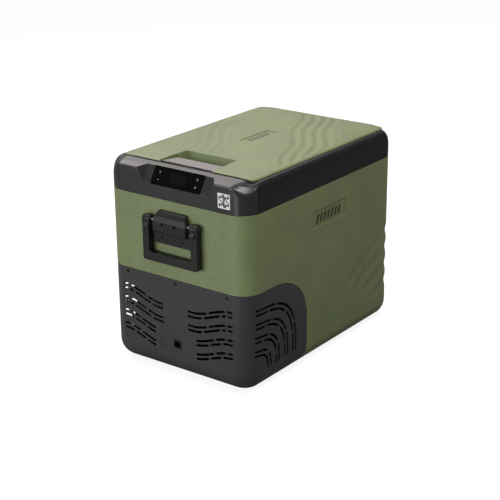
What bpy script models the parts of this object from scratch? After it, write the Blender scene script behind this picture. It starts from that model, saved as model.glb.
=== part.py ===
"""Compressor cooler fridge: cabinet, machine bay, lid, latch, two carry handles and a keyed display.

Metres, +Z up. The display end faces -Y and the lid hinges at the +Y end. The origin lies on the floor,
under the middle of the cabinet. Every named object is one solid piece of the real assembly.
"""

import itertools
import math

import bmesh
import bpy
from mathutils import Matrix, Vector

# Driving dimensions of the cabinet
HALF_WIDTH = 0.185
HALF_LENGTH = 0.277
FOOT_HEIGHT = 0.004
CORNER_RADIUS = 0.045
BOTTOM_FILLET = 0.038
WALL = 0.003
COLLAR_BASE = 0.387
CORNER_STEPS = 6
GAP = 0.0004  # left between pieces that touch
STEP = 1e-5  # a turned profile's rise at a square shoulder
BEYOND = 0.300  # a distance outside the whole object, for helpers that cut right through
FEET = [(side * 0.120, end * 0.205) for side in (-1, 1) for end in (-1, 1)]
FOOT_RADIUS = 0.0140
FOOT_PEG_RADIUS = 0.0040

# Collar and lid
SEAM_HALF_WIDTH = 0.1712
SEAM_FRONT = -0.2388
SEAM_BACK = 0.2538
SEAM_RADIUS = 0.020
SEAM_GAP = 0.0012
LEDGE_Z = 0.424
LEDGE_THICKNESS = 0.003
FASCIA_BACK = -0.241
LID_BASE = 0.4303
LID_TOP = 0.454
LID_RADIUS = 0.0188
LID_LINER_BASE = 0.4280
LID_LINER_TOP = 0.4300

# Hinges
HINGE_Y = 0.2532
HINGE_Z = 0.449
HINGE_WIDTH = 0.050
HINGE_X = 0.110
KNUCKLE_RADIUS = 0.0036
KNUCKLE_SPLIT = (0.014, 0.036)
LEAF_FOOT = 0.4318
LEAF_TOP = 0.4448
BODY_LEAF = (0.2541, 0.2560)  # y low, y high
LID_LEAF = (0.2504, 0.2523)
PIN_RADIUS = 0.0014
PIN_BORE = 0.0018

# Food space: the opening is as long as both wells, and the shallow well passes over the machine bay
WELL_HALF_WIDTH = 0.143
WELL_FRONT = -0.213
WELL_BACK = 0.228
WELL_RADIUS = 0.022
STEP_Y = -0.022
STEP_Z = 0.262
WELL_FLOOR = 0.046
LINER_WALL = 0.002
LINER_FLANGE_Z = 0.4185

# Machine bay behind the vented base cover
BAY_TOP = 0.218
BAY_BACK = -0.072
COVER_FLAT_Y = -0.202
COVER_CURVE_REACH = 0.130
COVER_CURVE_DROP = 0.115
COVER_CURVE_POWER = 2.4
FAN_Y = -0.169
FAN_Z = 0.061
FAN_BACK_X = 0.064
FAN_HALF = 0.050
FAN_DEPTH = 0.022
FAN_BORE = 0.0455
BLADES = 7
BLADE_PITCH = 52  # degrees
COMPRESSOR_X = -0.080
COMPRESSOR_Y = -0.165
PLATE_TOP = 0.0099
COVER_SCREWS = {"left": -0.131, "middle": -0.002, "right": 0.131}
COVER_SCREW_Z = 0.210
SOCKET_PLATE = (-0.046, 0.012, 0.056, 0.086)  # x low, x high, z low, z high
SOCKET = (-0.013, 0.010, 0.063, 0.084)

# Vents
SLOT_WIDTH = 0.0052
SLOT_BRIDGE = 0.0045
SLOT_STEP = 0.016  # between the points along a slot
VENT_PITCH = 0.0305
VENT_PAIR_STEP = 0.0101
VENT_TOP_Z = 0.1804
VENT_INNER = {-1: (0.0340, 0.0565), 1: (0.0262, 0.0470)}  # where the upper and lower rows of each side start
VENT_OUTER_X = 0.1475
VENT_DROP = 0.0237
VENT_EASE = (0.043, 0.139)  # distances from the middle between which a row rises
ARC_CENTRE = (-0.2535, 0.044)
ARC_REACH = 0.1405
ARC_RISE = 0.139
ARC_PITCH = 0.0296
ARC_PAIR_STEP = 0.0100
ARC_POWER = 3.4

# Display, lying in a slanted recess of the fascia
DISPLAY_FOOT = Vector((0.004, -HALF_LENGTH, 0.415))
DISPLAY_UP = Vector((0.0, 0.0206, 0.034)).normalized()
DISPLAY_OUT = Vector((0.0, -DISPLAY_UP.z, DISPLAY_UP.y))
LENS_HALF_WIDTH = 0.0647
LENS_LOW = 0.0008
LENS_HIGH = 0.0385
LENS_THICKNESS = 0.003
DISPLAY_BACKING = ((-0.083, -0.2745, 0.4186), (0.091, -0.2660, 0.4215))
KEY_SIZE = (0.014, 0.0085)
KEY_X = 0.048
KEY_ROWS = (0.0115, 0.0275)

# Carry handles
BAIL_HALF_WIDTH = 0.071
BAIL_ARM = 0.0165
BAIL_BOTTOM = 0.256
BAIL_BAR = 0.018
BAIL_DEPTH = 0.0155
KNUCKLE_START = 0.0515
LUG_X = (0.0525, 0.0665)
LUG_PROFILE = [  # y, z
    (-0.290, 0.3375), (-0.2935, 0.3375), (-0.2983, 0.3300), (-0.2935, 0.3230), (-0.290, 0.3230),
]
HANDLE_PIVOT_Y = 0.2861
HANDLE_PIVOT_Z = 0.344
BRACKET_HALF_WIDTH = 0.0425
FLANGE_HALF_WIDTH = 0.049
HANDLE_BORE = 0.0031
HANDLE_PIN_RADIUS = 0.0027

# Latch
PADDLE_FRONT = -0.2310
PADDLE_BASE = 0.4475
PADDLE_TOP = 0.4525
LATCH_BARREL_RADIUS = 0.0036
LATCH_Y = -0.2265
LATCH_Z = 0.4455
NOTCH_HALF_WIDTH = 0.068
NOTCH_FLOOR = 0.434
NOTCH_BACK = -0.147
PADDLE_BACK = -0.185

MATERIALS = {  # name: linear colour, roughness, metallic
    "green_plastic": ((0.150, 0.190, 0.085), 0.62, 0.0),
    "dark_plastic": ((0.050, 0.048, 0.055), 0.55, 0.0),
    "latch_plastic": ((0.190, 0.170, 0.165), 0.50, 0.0),
    "liner_plastic": ((0.560, 0.570, 0.570), 0.40, 0.0),
    "foam": ((0.780, 0.700, 0.450), 0.90, 0.0),
    "gloss_black": ((0.006, 0.006, 0.007), 0.08, 0.0),
    "board_green": ((0.020, 0.150, 0.060), 0.50, 0.0),
    "steel": ((0.550, 0.560, 0.580), 0.32, 1.0),
    "aluminium": ((0.700, 0.710, 0.720), 0.38, 1.0),
    "copper": ((0.760, 0.360, 0.200), 0.30, 1.0),
    "black_enamel": ((0.012, 0.012, 0.013), 0.35, 0.0),
    "rubber": ((0.018, 0.018, 0.018), 0.80, 0.0),
    "coated_wire": ((0.620, 0.630, 0.640), 0.42, 0.0),
    "lamp": ((0.850, 0.850, 0.800), 0.30, 0.0),
}


# ---- Modelling helpers ----


def clear_scene():
    for item in list(bpy.data.objects):
        bpy.data.objects.remove(item, do_unlink=True)


def make_materials():
    for name, (colour, roughness, metallic) in MATERIALS.items():
        material = bpy.data.materials.new(name)
        material.use_nodes = True
        shader = material.node_tree.nodes["Principled BSDF"]
        shader.inputs["Base Color"].default_value = (*colour, 1.0)
        shader.inputs["Roughness"].default_value = roughness
        shader.inputs["Metallic"].default_value = metallic
        MATERIALS[name] = material


def add(name, bm, material):
    """Makes a node from a bmesh in world coordinates."""
    bmesh.ops.recalc_face_normals(bm, faces=bm.faces)
    mesh = bpy.data.meshes.new(name)
    bm.to_mesh(mesh)
    bm.free()
    mesh.materials.append(MATERIALS[material])
    item = bpy.data.objects.new(name, mesh)
    bpy.context.scene.collection.objects.link(item)
    return item


def combine(target, bm, operation="DIFFERENCE", crossing=False):
    """Cuts, joins or intersects a node with a hidden helper, whose own solids may be crossing each other."""
    tool = add(f"{target.name}_tool_{len(target.modifiers)}", bm, "steel")
    tool.hide_render = True
    tool.display_type = "WIRE"
    modifier = target.modifiers.new(operation.title(), "BOOLEAN")
    modifier.operation = operation
    modifier.solver = "EXACT"
    modifier.use_self = crossing
    modifier.object = tool
    return tool


def hang(items, pivot, name):
    """Puts an empty on a joint's axis and parents the moving nodes to it."""
    empty = bpy.data.objects.new(name, None)
    empty.location = pivot
    bpy.context.scene.collection.objects.link(empty)
    for item in items:
        item.data.transform(Matrix.Translation(-Vector(pivot)))
        item.parent = empty


def ring(half_x, front, back, radius, z, front_z=None, back_z=None, dip=0.0):
    """Rounded rectangle. Its ends may lie higher or lower than its sides, and its corners may dip."""
    front_z = z if front_z is None else front_z
    back_z = z if back_z is None else back_z
    points = []
    for quarter, (side, end) in enumerate(((1, 1), (-1, 1), (-1, -1), (1, -1))):
        centre_x = side * (half_x - radius)
        centre_y = back - radius if end > 0 else front + radius
        end_z = back_z if end > 0 else front_z
        for step in range(CORNER_STEPS + 1):
            angle = (quarter + step / CORNER_STEPS) * math.pi / 2
            height = z + (end_z - z) * math.sin(angle) ** 2 - dip * math.sin(2 * angle) ** 2
            points.append((centre_x + radius * math.cos(angle), centre_y + radius * math.sin(angle), height))
    return points


def loft(rings, closed=False):
    """Skins a stack of rings. An open stack is capped, and a closed one joins its last ring to its first."""
    bm = bmesh.new()
    rows = [[bm.verts.new(point) for point in points] for points in rings]
    if closed:
        rows.append(rows[0])
    else:
        bm.faces.new(rows[0])
        bm.faces.new(rows[-1])
    for low, high in zip(rows, rows[1:]):
        for here in range(len(low)):
            after = (here + 1) % len(low)
            bm.faces.new((low[here], low[after], high[after], high[here]))
    bmesh.ops.recalc_face_normals(bm, faces=bm.faces)
    return bm


def block(*corners):
    """One or more axis-aligned boxes, each given by its low and high corner."""
    bm = bmesh.new()
    for low, high in zip(corners[::2], corners[1::2]):
        made = bmesh.ops.create_cube(bm, size=1.0)["verts"]
        for vertex in made:
            vertex.co = [a + (b - a) * (c + 0.5) for a, b, c in zip(low, high, vertex.co)]
    return bm


def prism(outlines, axis, low, high):
    """Extrudes outlines along an axis. Their points give the other two coordinates, in X, Y, Z order."""
    bm = bmesh.new()
    for outline in outlines:
        near, far = [], []
        for point in outline:
            for ends, level in ((near, low), (far, high)):
                place = list(point)
                place.insert("XYZ".index(axis), level)
                ends.append(bm.verts.new(place))
        bm.faces.new(near)
        bm.faces.new(far)
        for here in range(len(near)):
            after = (here + 1) % len(near)
            bm.faces.new((near[here], near[after], far[after], far[here]))
    bmesh.ops.recalc_face_normals(bm, faces=bm.faces)
    return bm


def turned(start, direction, profile, segments=20):
    """A solid of revolution: profile is a list of (distance along, radius) with no zero radius."""
    axis = Vector(direction).normalized()
    turn = Vector((0, 0, 1)).rotation_difference(axis).to_matrix()
    rings = []
    for along, radius in profile:
        points = []
        for step in range(segments):
            angle = 2 * math.pi * step / segments
            point = Vector((radius * math.cos(angle), radius * math.sin(angle), along))
            points.append(Vector(start) + turn @ point)
        rings.append(points)
    return loft(rings)


def rod(start, end, radius, segments=20):
    span = Vector(end) - Vector(start)
    return turned(start, span, [(0, radius), (span.length, radius)], segments)


def merged(*meshes):
    """Several bmeshes in one, for a helper that holds separate solids."""
    whole = bmesh.new()
    for bm in meshes:
        mesh = bpy.data.meshes.new("piece")
        bm.to_mesh(mesh)
        bm.free()
        whole.from_mesh(mesh)
        bpy.data.meshes.remove(mesh)
    return whole


def hull(points):
    bm = bmesh.new()
    made = [bm.verts.new(point) for point in points]
    result = bmesh.ops.convex_hull(bm, input=made)
    bmesh.ops.delete(bm, geom=result["geom_interior"] + result["geom_unused"], context="VERTS")
    return bm


def rounded_corners(points, radius, steps=4):
    """A pipe's route: the corners of a polyline swept with a bend radius."""
    points = [Vector(point) for point in points]
    route = [points[0]]
    for before, corner, after in zip(points, points[1:], points[2:]):
        start = corner + (before - corner).normalized() * radius
        end = corner + (after - corner).normalized() * radius
        for step in range(steps + 1):
            share = step / steps
            route.append(start.lerp(corner, share).lerp(corner.lerp(end, share), share))
    route.append(points[-1])
    return route


def pipe(name, points, radius, bend, material):
    curve = bpy.data.curves.new(name, "CURVE")
    curve.dimensions = "3D"
    curve.bevel_depth = radius
    curve.bevel_resolution = 2
    curve.use_fill_caps = True
    route = rounded_corners(points, bend)
    spline = curve.splines.new("POLY")
    spline.points.add(len(route) - 1)
    for target, point in zip(spline.points, route):
        target.co = (*point, 1.0)
    curve.materials.append(MATERIALS[material])
    item = bpy.data.objects.new(name, curve)
    bpy.context.scene.collection.objects.link(item)


# ---- Cabinet ----


def body_ring(inset, z):
    half, end = HALF_WIDTH - inset, HALF_LENGTH - inset
    return ring(half, -end, end, CORNER_RADIUS - inset, z)


def body_rings(offset, top):
    """The cabinet's outer form, moved inwards by offset, from its bottom face up to top."""
    fillet = BOTTOM_FILLET - offset
    rings = []
    for step in range(6):
        angle = math.radians(18 * step)
        inset = offset + fillet * (1 - math.sin(angle))
        height = FOOT_HEIGHT + offset + fillet * (1 - math.cos(angle))
        rings.append(body_ring(inset, height))
    rings.append(body_ring(offset, top))
    return rings


def body_shell():
    return loft(body_rings(0, COLLAR_BASE - GAP) + body_rings(WALL, COLLAR_BASE - GAP)[::-1])


def cover_outline(margin):
    """Side view of the base cover, as (y, z): level along the front, then curving down to the bottom."""
    reach, drop = COVER_CURVE_REACH + margin, COVER_CURVE_DROP + margin
    level = BAY_TOP + margin
    outline = [(-BEYOND, -0.020), (-BEYOND, level)]
    for step in range(11):
        angle = math.radians(9 * step)
        along = math.sin(angle) ** (2 / COVER_CURVE_POWER)
        up = math.cos(angle) ** (2 / COVER_CURVE_POWER) if step < 10 else 0.0
        outline.append((COVER_FLAT_Y + reach * along, level - drop * (1 - up)))
    end = COVER_FLAT_Y + reach
    return outline + [(end, 0.055), (end - 0.010, 0.020), (end - 0.014, -0.020)]


def vent_curve(x, z):
    """Height of a front slot: level outside, eased down towards the middle."""
    near, far = VENT_EASE
    share = min(max((far - x) / (far - near), 0.0), 1.0)
    return z - VENT_DROP * share * share * (3 - 2 * share)


def slot_outline(path):
    """A slot of SLOT_WIDTH round a path of 2-D points."""
    left, right = [], []
    for index, here in enumerate(path):
        before, after = path[max(index - 1, 0)], path[min(index + 1, len(path) - 1)]
        run = Vector(after) - Vector(before)
        across = Vector((-run.y, run.x)).normalized() * SLOT_WIDTH / 2
        left.append(tuple(Vector(here) + across))
        right.append(tuple(Vector(here) - across))
    return left + right[::-1]


def front_slots():
    """Four pairs of slot rows in a left and a right block; each row is broken by short bridges."""
    outlines = []
    upper = ((0.0810, 0.1285), (0.0680, 0.1150, 0.1300))
    lower = ((0.0990, 0.1285), (0.0850, 0.1170))
    for side, pair, row in itertools.product((-1, 1), range(4), range(2)):
        inner = VENT_INNER[side][pair // 2]
        bridges = (upper if pair < 2 else lower)[row]
        z = VENT_TOP_Z - pair * VENT_PITCH - row * VENT_PAIR_STEP
        for start, end in zip((inner, *bridges), (*bridges, VENT_OUTER_X)):
            count = max(2, round((end - start) / SLOT_STEP) + 1)
            step = (end - start - SLOT_BRIDGE) / (count - 1)
            stations = [start + 0.0015 + step * index for index in range(count)]
            outlines.append(slot_outline([(side * x, vent_curve(x, z)) for x in stations]))
    return outlines


def side_slots():
    """The same eight rows, carried round the corner as nested quarter arcs."""
    outlines = []
    breaks = ((29, 62), (22, 46, 71), (31, 62), (22, 45, 70), (32, 58), (21, 69), (43,), ())
    for row, bridges in enumerate(breaks):
        inset = ARC_PITCH * (row // 2) + ARC_PAIR_STEP * (row % 2)
        reach, rise = ARC_REACH - inset, ARC_RISE - inset
        half_bridge = math.degrees(0.0022 / (reach + rise) * 2)
        for start, end in zip((2, *bridges), (*bridges, 89)):
            count = max(2, round((end - start) / 11) + 1)
            path = []
            for i in range(count):
                angle = math.radians(start + half_bridge + (end - start - 2 * half_bridge) * i / (count - 1))
                along, up = math.cos(angle), math.sin(angle)
                size = (along / reach) ** ARC_POWER + (up / rise) ** ARC_POWER
                radius = size ** (-1 / ARC_POWER)
                path.append((ARC_CENTRE[0] + radius * along, ARC_CENTRE[1] + radius * up))
            outlines.append(slot_outline(path))
    return outlines


def foot_holes():
    radius = FOOT_PEG_RADIUS + GAP
    return merged(*[rod((x, y, -0.01), (x, y, 0.02), radius, 12) for x, y in FEET])


def make_shell():
    shell = add("outer_shell", body_shell(), "green_plastic")
    combine(shell, prism([cover_outline(GAP)], "X", -BEYOND, BEYOND))
    combine(shell, foot_holes())


def through_front(opening):
    low_x, high_x, low_z, high_z = opening
    return block((low_x, -0.29, low_z), (high_x, -0.26, high_z))


def make_base_cover():
    cover = add("base_cover", body_shell(), "dark_plastic")
    combine(cover, prism([cover_outline(0)], "X", -BEYOND, BEYOND), "INTERSECT")
    combine(cover, prism(front_slots(), "Y", -BEYOND, -0.262))
    combine(cover, prism(side_slots(), "X", -BEYOND, BEYOND))
    combine(cover, through_front(SOCKET_PLATE))
    for low, high, radius in ((-0.285, -0.2755, 0.0035), (-0.279, -0.262, 0.0019)):
        holes = [rod((x, low, COVER_SCREW_Z), (x, high, COVER_SCREW_Z), radius, 12)
                 for x in COVER_SCREWS.values()]
        combine(cover, merged(*holes))
    combine(cover, foot_holes())


def make_cover_screws():
    for name, x in COVER_SCREWS.items():
        head, shank = 0.0030, 0.0016
        profile = [(0, 0.0022), (0.0003, head), (0.0012, head), (0.0012 + STEP, shank), (0.0105, shank)]
        screw = turned((x, -HALF_LENGTH, COVER_SCREW_Z), (0, 1, 0), profile, 12)
        add(f"cover_screw_{name}", screw, "steel")


def make_feet():
    for number, (x, y) in enumerate(FEET, 1):
        top, peg = FOOT_HEIGHT - GAP, FOOT_PEG_RADIUS
        profile = [(0, 0.0125), (0.0007, FOOT_RADIUS), (top, FOOT_RADIUS), (top + STEP, peg), (0.0068, peg)]
        add(f"rubber_foot_{number}", turned((x, y, 0), (0, 0, 1), profile, 20), "rubber")


def collar_form():
    """Ring with a side, front and back profile of its own, from the outside over the top to the inside."""
    outer = (HALF_WIDTH, -HALF_LENGTH, HALF_LENGTH)
    seam = (SEAM_HALF_WIDTH, SEAM_FRONT, SEAM_BACK, SEAM_RADIUS)
    lip = (WELL_HALF_WIDTH + 0.003, WELL_FRONT - 0.003, WELL_BACK + 0.003, 0.025)
    inner = (HALF_WIDTH - WALL, WALL - HALF_LENGTH, HALF_LENGTH - WALL, CORNER_RADIUS - WALL)
    under = LEDGE_Z - LEDGE_THICKNESS
    return loft(
        [
            ring(*outer, CORNER_RADIUS, COLLAR_BASE),
            ring(*outer, CORNER_RADIUS, 0.4352, 0.4425, 0.430, dip=0.022),
            ring(0.1832, -0.2755, 0.2740, 0.0435, 0.4421, 0.4442, 0.438, dip=0.014),
            ring(0.1781, -0.2600, 0.2650, 0.036, 0.44715, 0.4480, 0.4445, dip=0.005),
            ring(*seam, 0.449, 0.453, 0.4475, dip=0.004),
            ring(*seam, LEDGE_Z),
            ring(*lip, LEDGE_Z),
            ring(*lip, under),
            ring(*inner, under),
            ring(*inner, COLLAR_BASE),
        ],
        closed=True,
    )


def front_of(y):
    """A block round the collar, from in front of it back to y."""
    return block((-BEYOND, -BEYOND, 0.38), (BEYOND, y, 0.46))


def make_collar():
    collar = add("top_collar", collar_form(), "dark_plastic")
    combine(collar, front_of(FASCIA_BACK + GAP))
    combine(collar, hinge_pockets(HINGE_Y - 0.0002, 0.2565, 0.2572), crossing=True)


def display_frame(x, up, out):
    return DISPLAY_FOOT + Vector((x, 0, 0)) + DISPLAY_UP * up + DISPLAY_OUT * out


def display_block(low, high):
    """A box in the display's own frame: x, up along the slant, out of its face."""
    bm = block(low, high)
    for vertex in bm.verts:
        vertex.co = display_frame(*vertex.co)
    return bm


def display_recess():
    """The slanted bed of the display with a triangular facet on each side of it."""
    foot, shoulder, top, sky = 0.415, 0.4445, 0.4495, 0.480
    low, outer, back = 0.0848, 0.1010, -0.2563
    profile = [(low, -HALF_LENGTH, foot), (outer, -HALF_LENGTH, shoulder), (low, back, top)]
    profile += [(low, back, sky), (outer, -BEYOND, sky), (outer, -BEYOND, shoulder), (low, -BEYOND, foot)]
    return hull([(DISPLAY_FOOT.x + side * x, y, z) for side in (-1, 1) for x, y, z in profile])


def make_fascia():
    fascia = add("control_fascia", collar_form(), "dark_plastic")
    combine(fascia, front_of(FASCIA_BACK), "INTERSECT")
    # The display recess breaks through the collar's wall, so a strip of plastic backs its top edge.
    combine(fascia, block(*DISPLAY_BACKING), "UNION")
    combine(fascia, display_recess())
    half = LENS_HALF_WIDTH + GAP
    low, high = LENS_LOW - GAP, LENS_HIGH + GAP
    combine(fascia, display_block((-half, low, -LENS_THICKNESS - GAP), (half, high, 0.01)))
    combine(fascia, display_block((-0.061, 0.004, -0.0085), (0.061, 0.035, 0.0)))


def key_spots():
    return [(side * KEY_X, up) for side in (-1, 1) for up in KEY_ROWS]


def make_display():
    lens_low = (-LENS_HALF_WIDTH, LENS_LOW, -LENS_THICKNESS)
    lens_high = (LENS_HALF_WIDTH, LENS_HIGH, 0)
    lens = add("display_lens", display_block(lens_low, lens_high), "gloss_black")
    holes = []
    half_x, half_up = KEY_SIZE[0] / 2 + GAP, KEY_SIZE[1] / 2 + GAP
    for x, up in key_spots():
        holes.append(display_block((x - half_x, up - half_up, -0.01), (x + half_x, up + half_up, 0.01)))
    combine(lens, merged(*holes))
    add("display_board", display_block((-0.058, 0.006, -0.0072), (0.058, 0.033, -0.0056)), "board_green")


def make_keys():
    half_x, half_up = KEY_SIZE[0] / 2, KEY_SIZE[1] / 2
    for name, (x, up) in zip(("key_minus", "key_plus", "key_set", "key_power"), key_spots()):
        corners = ((x - half_x, up - half_up, -0.0042), (x + half_x, up + half_up, 0.0))
        key = add(name, display_block(*corners), "gloss_black")
        hang([key], display_frame(x, up, 0), f"{name}_axis")


# ---- Inside of the cabinet ----


def deep_well(offset, z):
    edges = (WELL_HALF_WIDTH + offset, STEP_Y - offset, WELL_BACK + offset)
    return ring(*edges, WELL_RADIUS + offset, z)


def whole_well(offset, z):
    edges = (WELL_HALF_WIDTH + offset, WELL_FRONT - offset, WELL_BACK + offset)
    return ring(*edges, WELL_RADIUS + offset, z)


def well_forms(offset, floor, top):
    """The food space grown by offset: the deep well, and the shallow one over the whole length."""
    deep = loft([deep_well(offset, floor), deep_well(offset, STEP_Z + 0.020)])
    return deep, loft([whole_well(offset, STEP_Z - offset), whole_well(offset, top)])


def make_liner():
    deep, shallow = well_forms(LINER_WALL, WELL_FLOOR - LINER_WALL, LINER_FLANGE_Z + 0.001)
    liner = add("inner_liner", deep, "liner_plastic")
    combine(liner, shallow, "UNION")
    flange = [ring(0.160, -0.230, 0.245, 0.030, z) for z in (LINER_FLANGE_Z, LINER_FLANGE_Z + 0.002)]
    combine(liner, loft(flange), "UNION")
    combine(liner, merged(*well_forms(0, WELL_FLOOR, 0.450)), crossing=True)


def make_evaporator():
    low, high = 0.100, 0.250
    rings = [deep_well(0.0038, low), deep_well(0.0038, high), deep_well(0.0024, high), deep_well(0.0024, low)]
    add("evaporator_plate", loft(rings, closed=True), "aluminium")


def make_foam():
    foam = add("foam_insulation", loft(body_rings(WALL + GAP, LINER_FLANGE_Z - GAP)), "foam")
    combine(foam, block((-0.25, -0.35, -0.05), (0.25, BAY_BACK + 0.0024, BAY_TOP)))
    combine(foam, merged(*well_forms(0.0044, WELL_FLOOR - LINER_WALL - GAP, 0.450)), crossing=True)
    combine(foam, block((-0.116, -0.090, 0.170), (-0.084, -0.015, 0.197)))
    combine(foam, block((-0.080, -0.300, 0.395), (0.080, -0.246, 0.450)))


def make_bay_liner():
    front, back, sheet = -0.2736, BAY_BACK, 0.002
    under, over = BAY_TOP - 0.0035, BAY_TOP - 0.0015
    outline = [(front, under), (back, under), (back, 0)]
    outline += [(back + sheet, 0), (back + sheet, over), (front, over)]
    sheet = add("bay_liner", prism([outline], "X", -0.2, 0.2), "black_enamel")
    combine(sheet, loft(body_rings(WALL + GAP, 0.3)), "INTERSECT")
    combine(sheet, block((-0.114, -0.090, 0.172), (-0.086, -0.050, 0.195)))


def make_light():
    add("interior_light", block((0.1395, -0.130, 0.384), (0.1426, -0.090, 0.394)), "lamp")


def make_basket():
    """A wire basket: the edges of a gridded open box turned into wires."""
    low, high = Vector((-0.134, -0.013, 0.0485)), Vector((0.134, 0.219, 0.330))
    columns, bays, levels = 4, 4, 4
    bm = bmesh.new()

    def sheet(origin, across, along, across_count, along_count):
        grid = []
        for i in range(across_count + 1):
            start = origin + across * i / across_count
            grid.append([bm.verts.new(start + along * j / along_count) for j in range(along_count + 1)])
        for i in range(across_count):
            for j in range(along_count):
                bm.faces.new((grid[i][j], grid[i + 1][j], grid[i + 1][j + 1], grid[i][j + 1]))

    size = high - low
    width, length, height = Vector((size.x, 0, 0)), Vector((0, size.y, 0)), Vector((0, 0, size.z))
    sheet(low, width, length, columns, bays)
    sheet(low, width, height, columns, levels)
    sheet(low + length, width, height, columns, levels)
    sheet(low, length, height, bays, levels)
    sheet(low + width, length, height, bays, levels)
    bmesh.ops.remove_doubles(bm, verts=bm.verts, dist=1e-5)
    basket = add("wire_basket", bm, "coated_wire")
    wires = basket.modifiers.new("Wires", "WIREFRAME")
    wires.thickness = 0.0032
    wires.use_even_offset = False
    wires.use_boundary = True
    wires.use_replace = True


# ---- Machine bay ----


def make_compressor():
    x, y = COMPRESSOR_X, COMPRESSOR_Y
    rings = []
    for half_x, half_y, radius, z in (
        (0.060, 0.042, 0.034, 0.022),
        (0.068, 0.050, 0.042, 0.032),
        (0.068, 0.050, 0.042, 0.115),
        (0.060, 0.042, 0.036, 0.135),
        (0.040, 0.024, 0.020, 0.143),
    ):
        points = ring(half_x, y - half_y, y + half_y, radius, z)
        rings.append([(x + px, py, pz) for px, py, pz in points])
    body = add("compressor_body", loft(rings), "black_enamel")
    foot = block((x - 0.070, y - 0.058, 0.0172), (x + 0.070, y + 0.058, 0.0235))
    combine(body, foot, "UNION")
    cover = block((-0.176, y - 0.040, 0.045), (-0.1505, y + 0.040, 0.115))
    cover = add("compressor_electronics", cover, "dark_plastic")
    edges = cover.modifiers.new("Edges", "BEVEL")
    edges.width = 0.003
    edges.segments = 2
    add("bay_base_plate", block((-0.146, -0.234, 0.0076), (0.146, -0.084, PLATE_TOP)), "steel")
    spots = [(x + side * 0.060, y + end * 0.049) for side in (-1, 1) for end in (-1, 1)]
    rim, waist = 0.0080, 0.0062
    profile = [(0, rim), (0.0025, rim), (0.0032, waist), (0.0040, waist), (0.0047, rim), (0.0065, rim)]
    for number, (spot_x, spot_y) in enumerate(spots, 1):
        grommet = turned((spot_x, spot_y, PLATE_TOP + GAP), (0, 0, 1), profile, 12)
        add(f"compressor_grommet_{number}", grommet, "rubber")


def make_condenser():
    """Fin pack: a comb in side view, so that air passes through it along X."""
    front, back, foot, top, fins = -0.246, -0.092, PLATE_TOP + GAP, 0.160, 22
    pitch = (back - front) / fins
    outline = [(front, foot)]
    for fin in range(fins):
        start = front + pitch * fin
        outline += [(start, top), (start + pitch * 0.3, top)]
        if fin < fins - 1:
            outline += [(start + pitch * 0.3, foot + 0.008), (start + pitch, foot + 0.008)]
    outline.append((front + pitch * (fins - 0.7), foot))
    add("condenser_fins", prism([outline], "X", 0.074, 0.104), "aluminium")


def make_fan():
    back = FAN_BACK_X
    centre = Vector((back, FAN_Y, FAN_Z))
    shroud = block(centre - Vector((FAN_DEPTH, FAN_HALF, FAN_HALF)), centre + Vector((0, FAN_HALF, FAN_HALF)))
    shroud = add("fan_shroud", shroud, "dark_plastic")
    combine(shroud, rod(centre - Vector((0.03, 0, 0)), centre + Vector((0.01, 0, 0)), FAN_BORE, 32))
    struts = []
    for index in range(3):
        strut = block((back - 0.0035, -0.0025, 0.0), (back - 0.0005, 0.0025, 0.047))
        strut.transform(Matrix.Rotation(math.radians(120 * index + 30), 4, "X"))
        strut.transform(Matrix.Translation((0, FAN_Y, FAN_Z)))
        struts.append(strut)
    hub = rod(centre - Vector((0.0040, 0, 0)), centre, 0.016, 20)
    spindle = rod(centre - Vector((0.016, 0, 0)), centre - Vector((0.001, 0, 0)), 0.0018, 12)
    combine(shroud, merged(*struts, hub, spindle), "UNION", crossing=True)

    rotor = rod(centre - Vector((0.0200, 0, 0)), centre - Vector((0.0048, 0, 0)), 0.017, 24)
    rotor = add("fan_rotor", rotor, "dark_plastic")
    blades = []
    for index in range(BLADES):
        blade = block((-0.0007, -0.0068, 0.0150), (0.0007, 0.0068, 0.0430))
        blade.transform(Matrix.Rotation(math.radians(BLADE_PITCH), 4, "Z"))
        blade.transform(Matrix.Rotation(2 * math.pi * index / BLADES, 4, "X"))
        blade.transform(Matrix.Translation((back - 0.0124, FAN_Y, FAN_Z)))
        blades.append(blade)
    combine(rotor, merged(*blades), "UNION")
    combine(rotor, rod(centre - Vector((0.0165, 0, 0)), centre, 0.0022, 12))
    hang([rotor], centre, "fan_axis")


def make_refrigerant_circuit():
    drier = Vector((0.140, -0.110, 0.050))
    profile = [(0, 0.0030), (0.010, 0.0090), (0.090, 0.0090), (0.100, 0.0030)]
    add("filter_drier", turned(drier, (0, 0, 1), profile, 16), "copper")
    top, evaporator = drier.z + 0.1004, STEP_Y - 0.0042
    x, level = -0.106, 0.182
    suction = [(x, evaporator, level), (x, -0.150, level), (x, -0.150, 0.1434)]
    pipe("suction_tube", suction, 0.0040, 0.018, "copper")
    y, level = COMPRESSOR_Y, 0.172
    discharge = [(-0.050, y, 0.1434), (-0.050, y, level), (0.090, y, level), (0.090, y, 0.1604)]
    pipe("discharge_tube", discharge, 0.0030, 0.009, "copper")
    level = 0.030
    outlet = [(0.1044, drier.y, level), (drier.x, drier.y, level), (drier.x, drier.y, drier.z - GAP)]
    pipe("condenser_outlet_tube", outlet, 0.0025, 0.012, "copper")
    x, level = -0.094, 0.186
    capillary = [(drier.x, drier.y, top), (drier.x, drier.y, level)]
    capillary += [(x, drier.y, level), (x, evaporator, level)]
    pipe("capillary_tube", capillary, 0.0014, 0.012, "copper")


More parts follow.
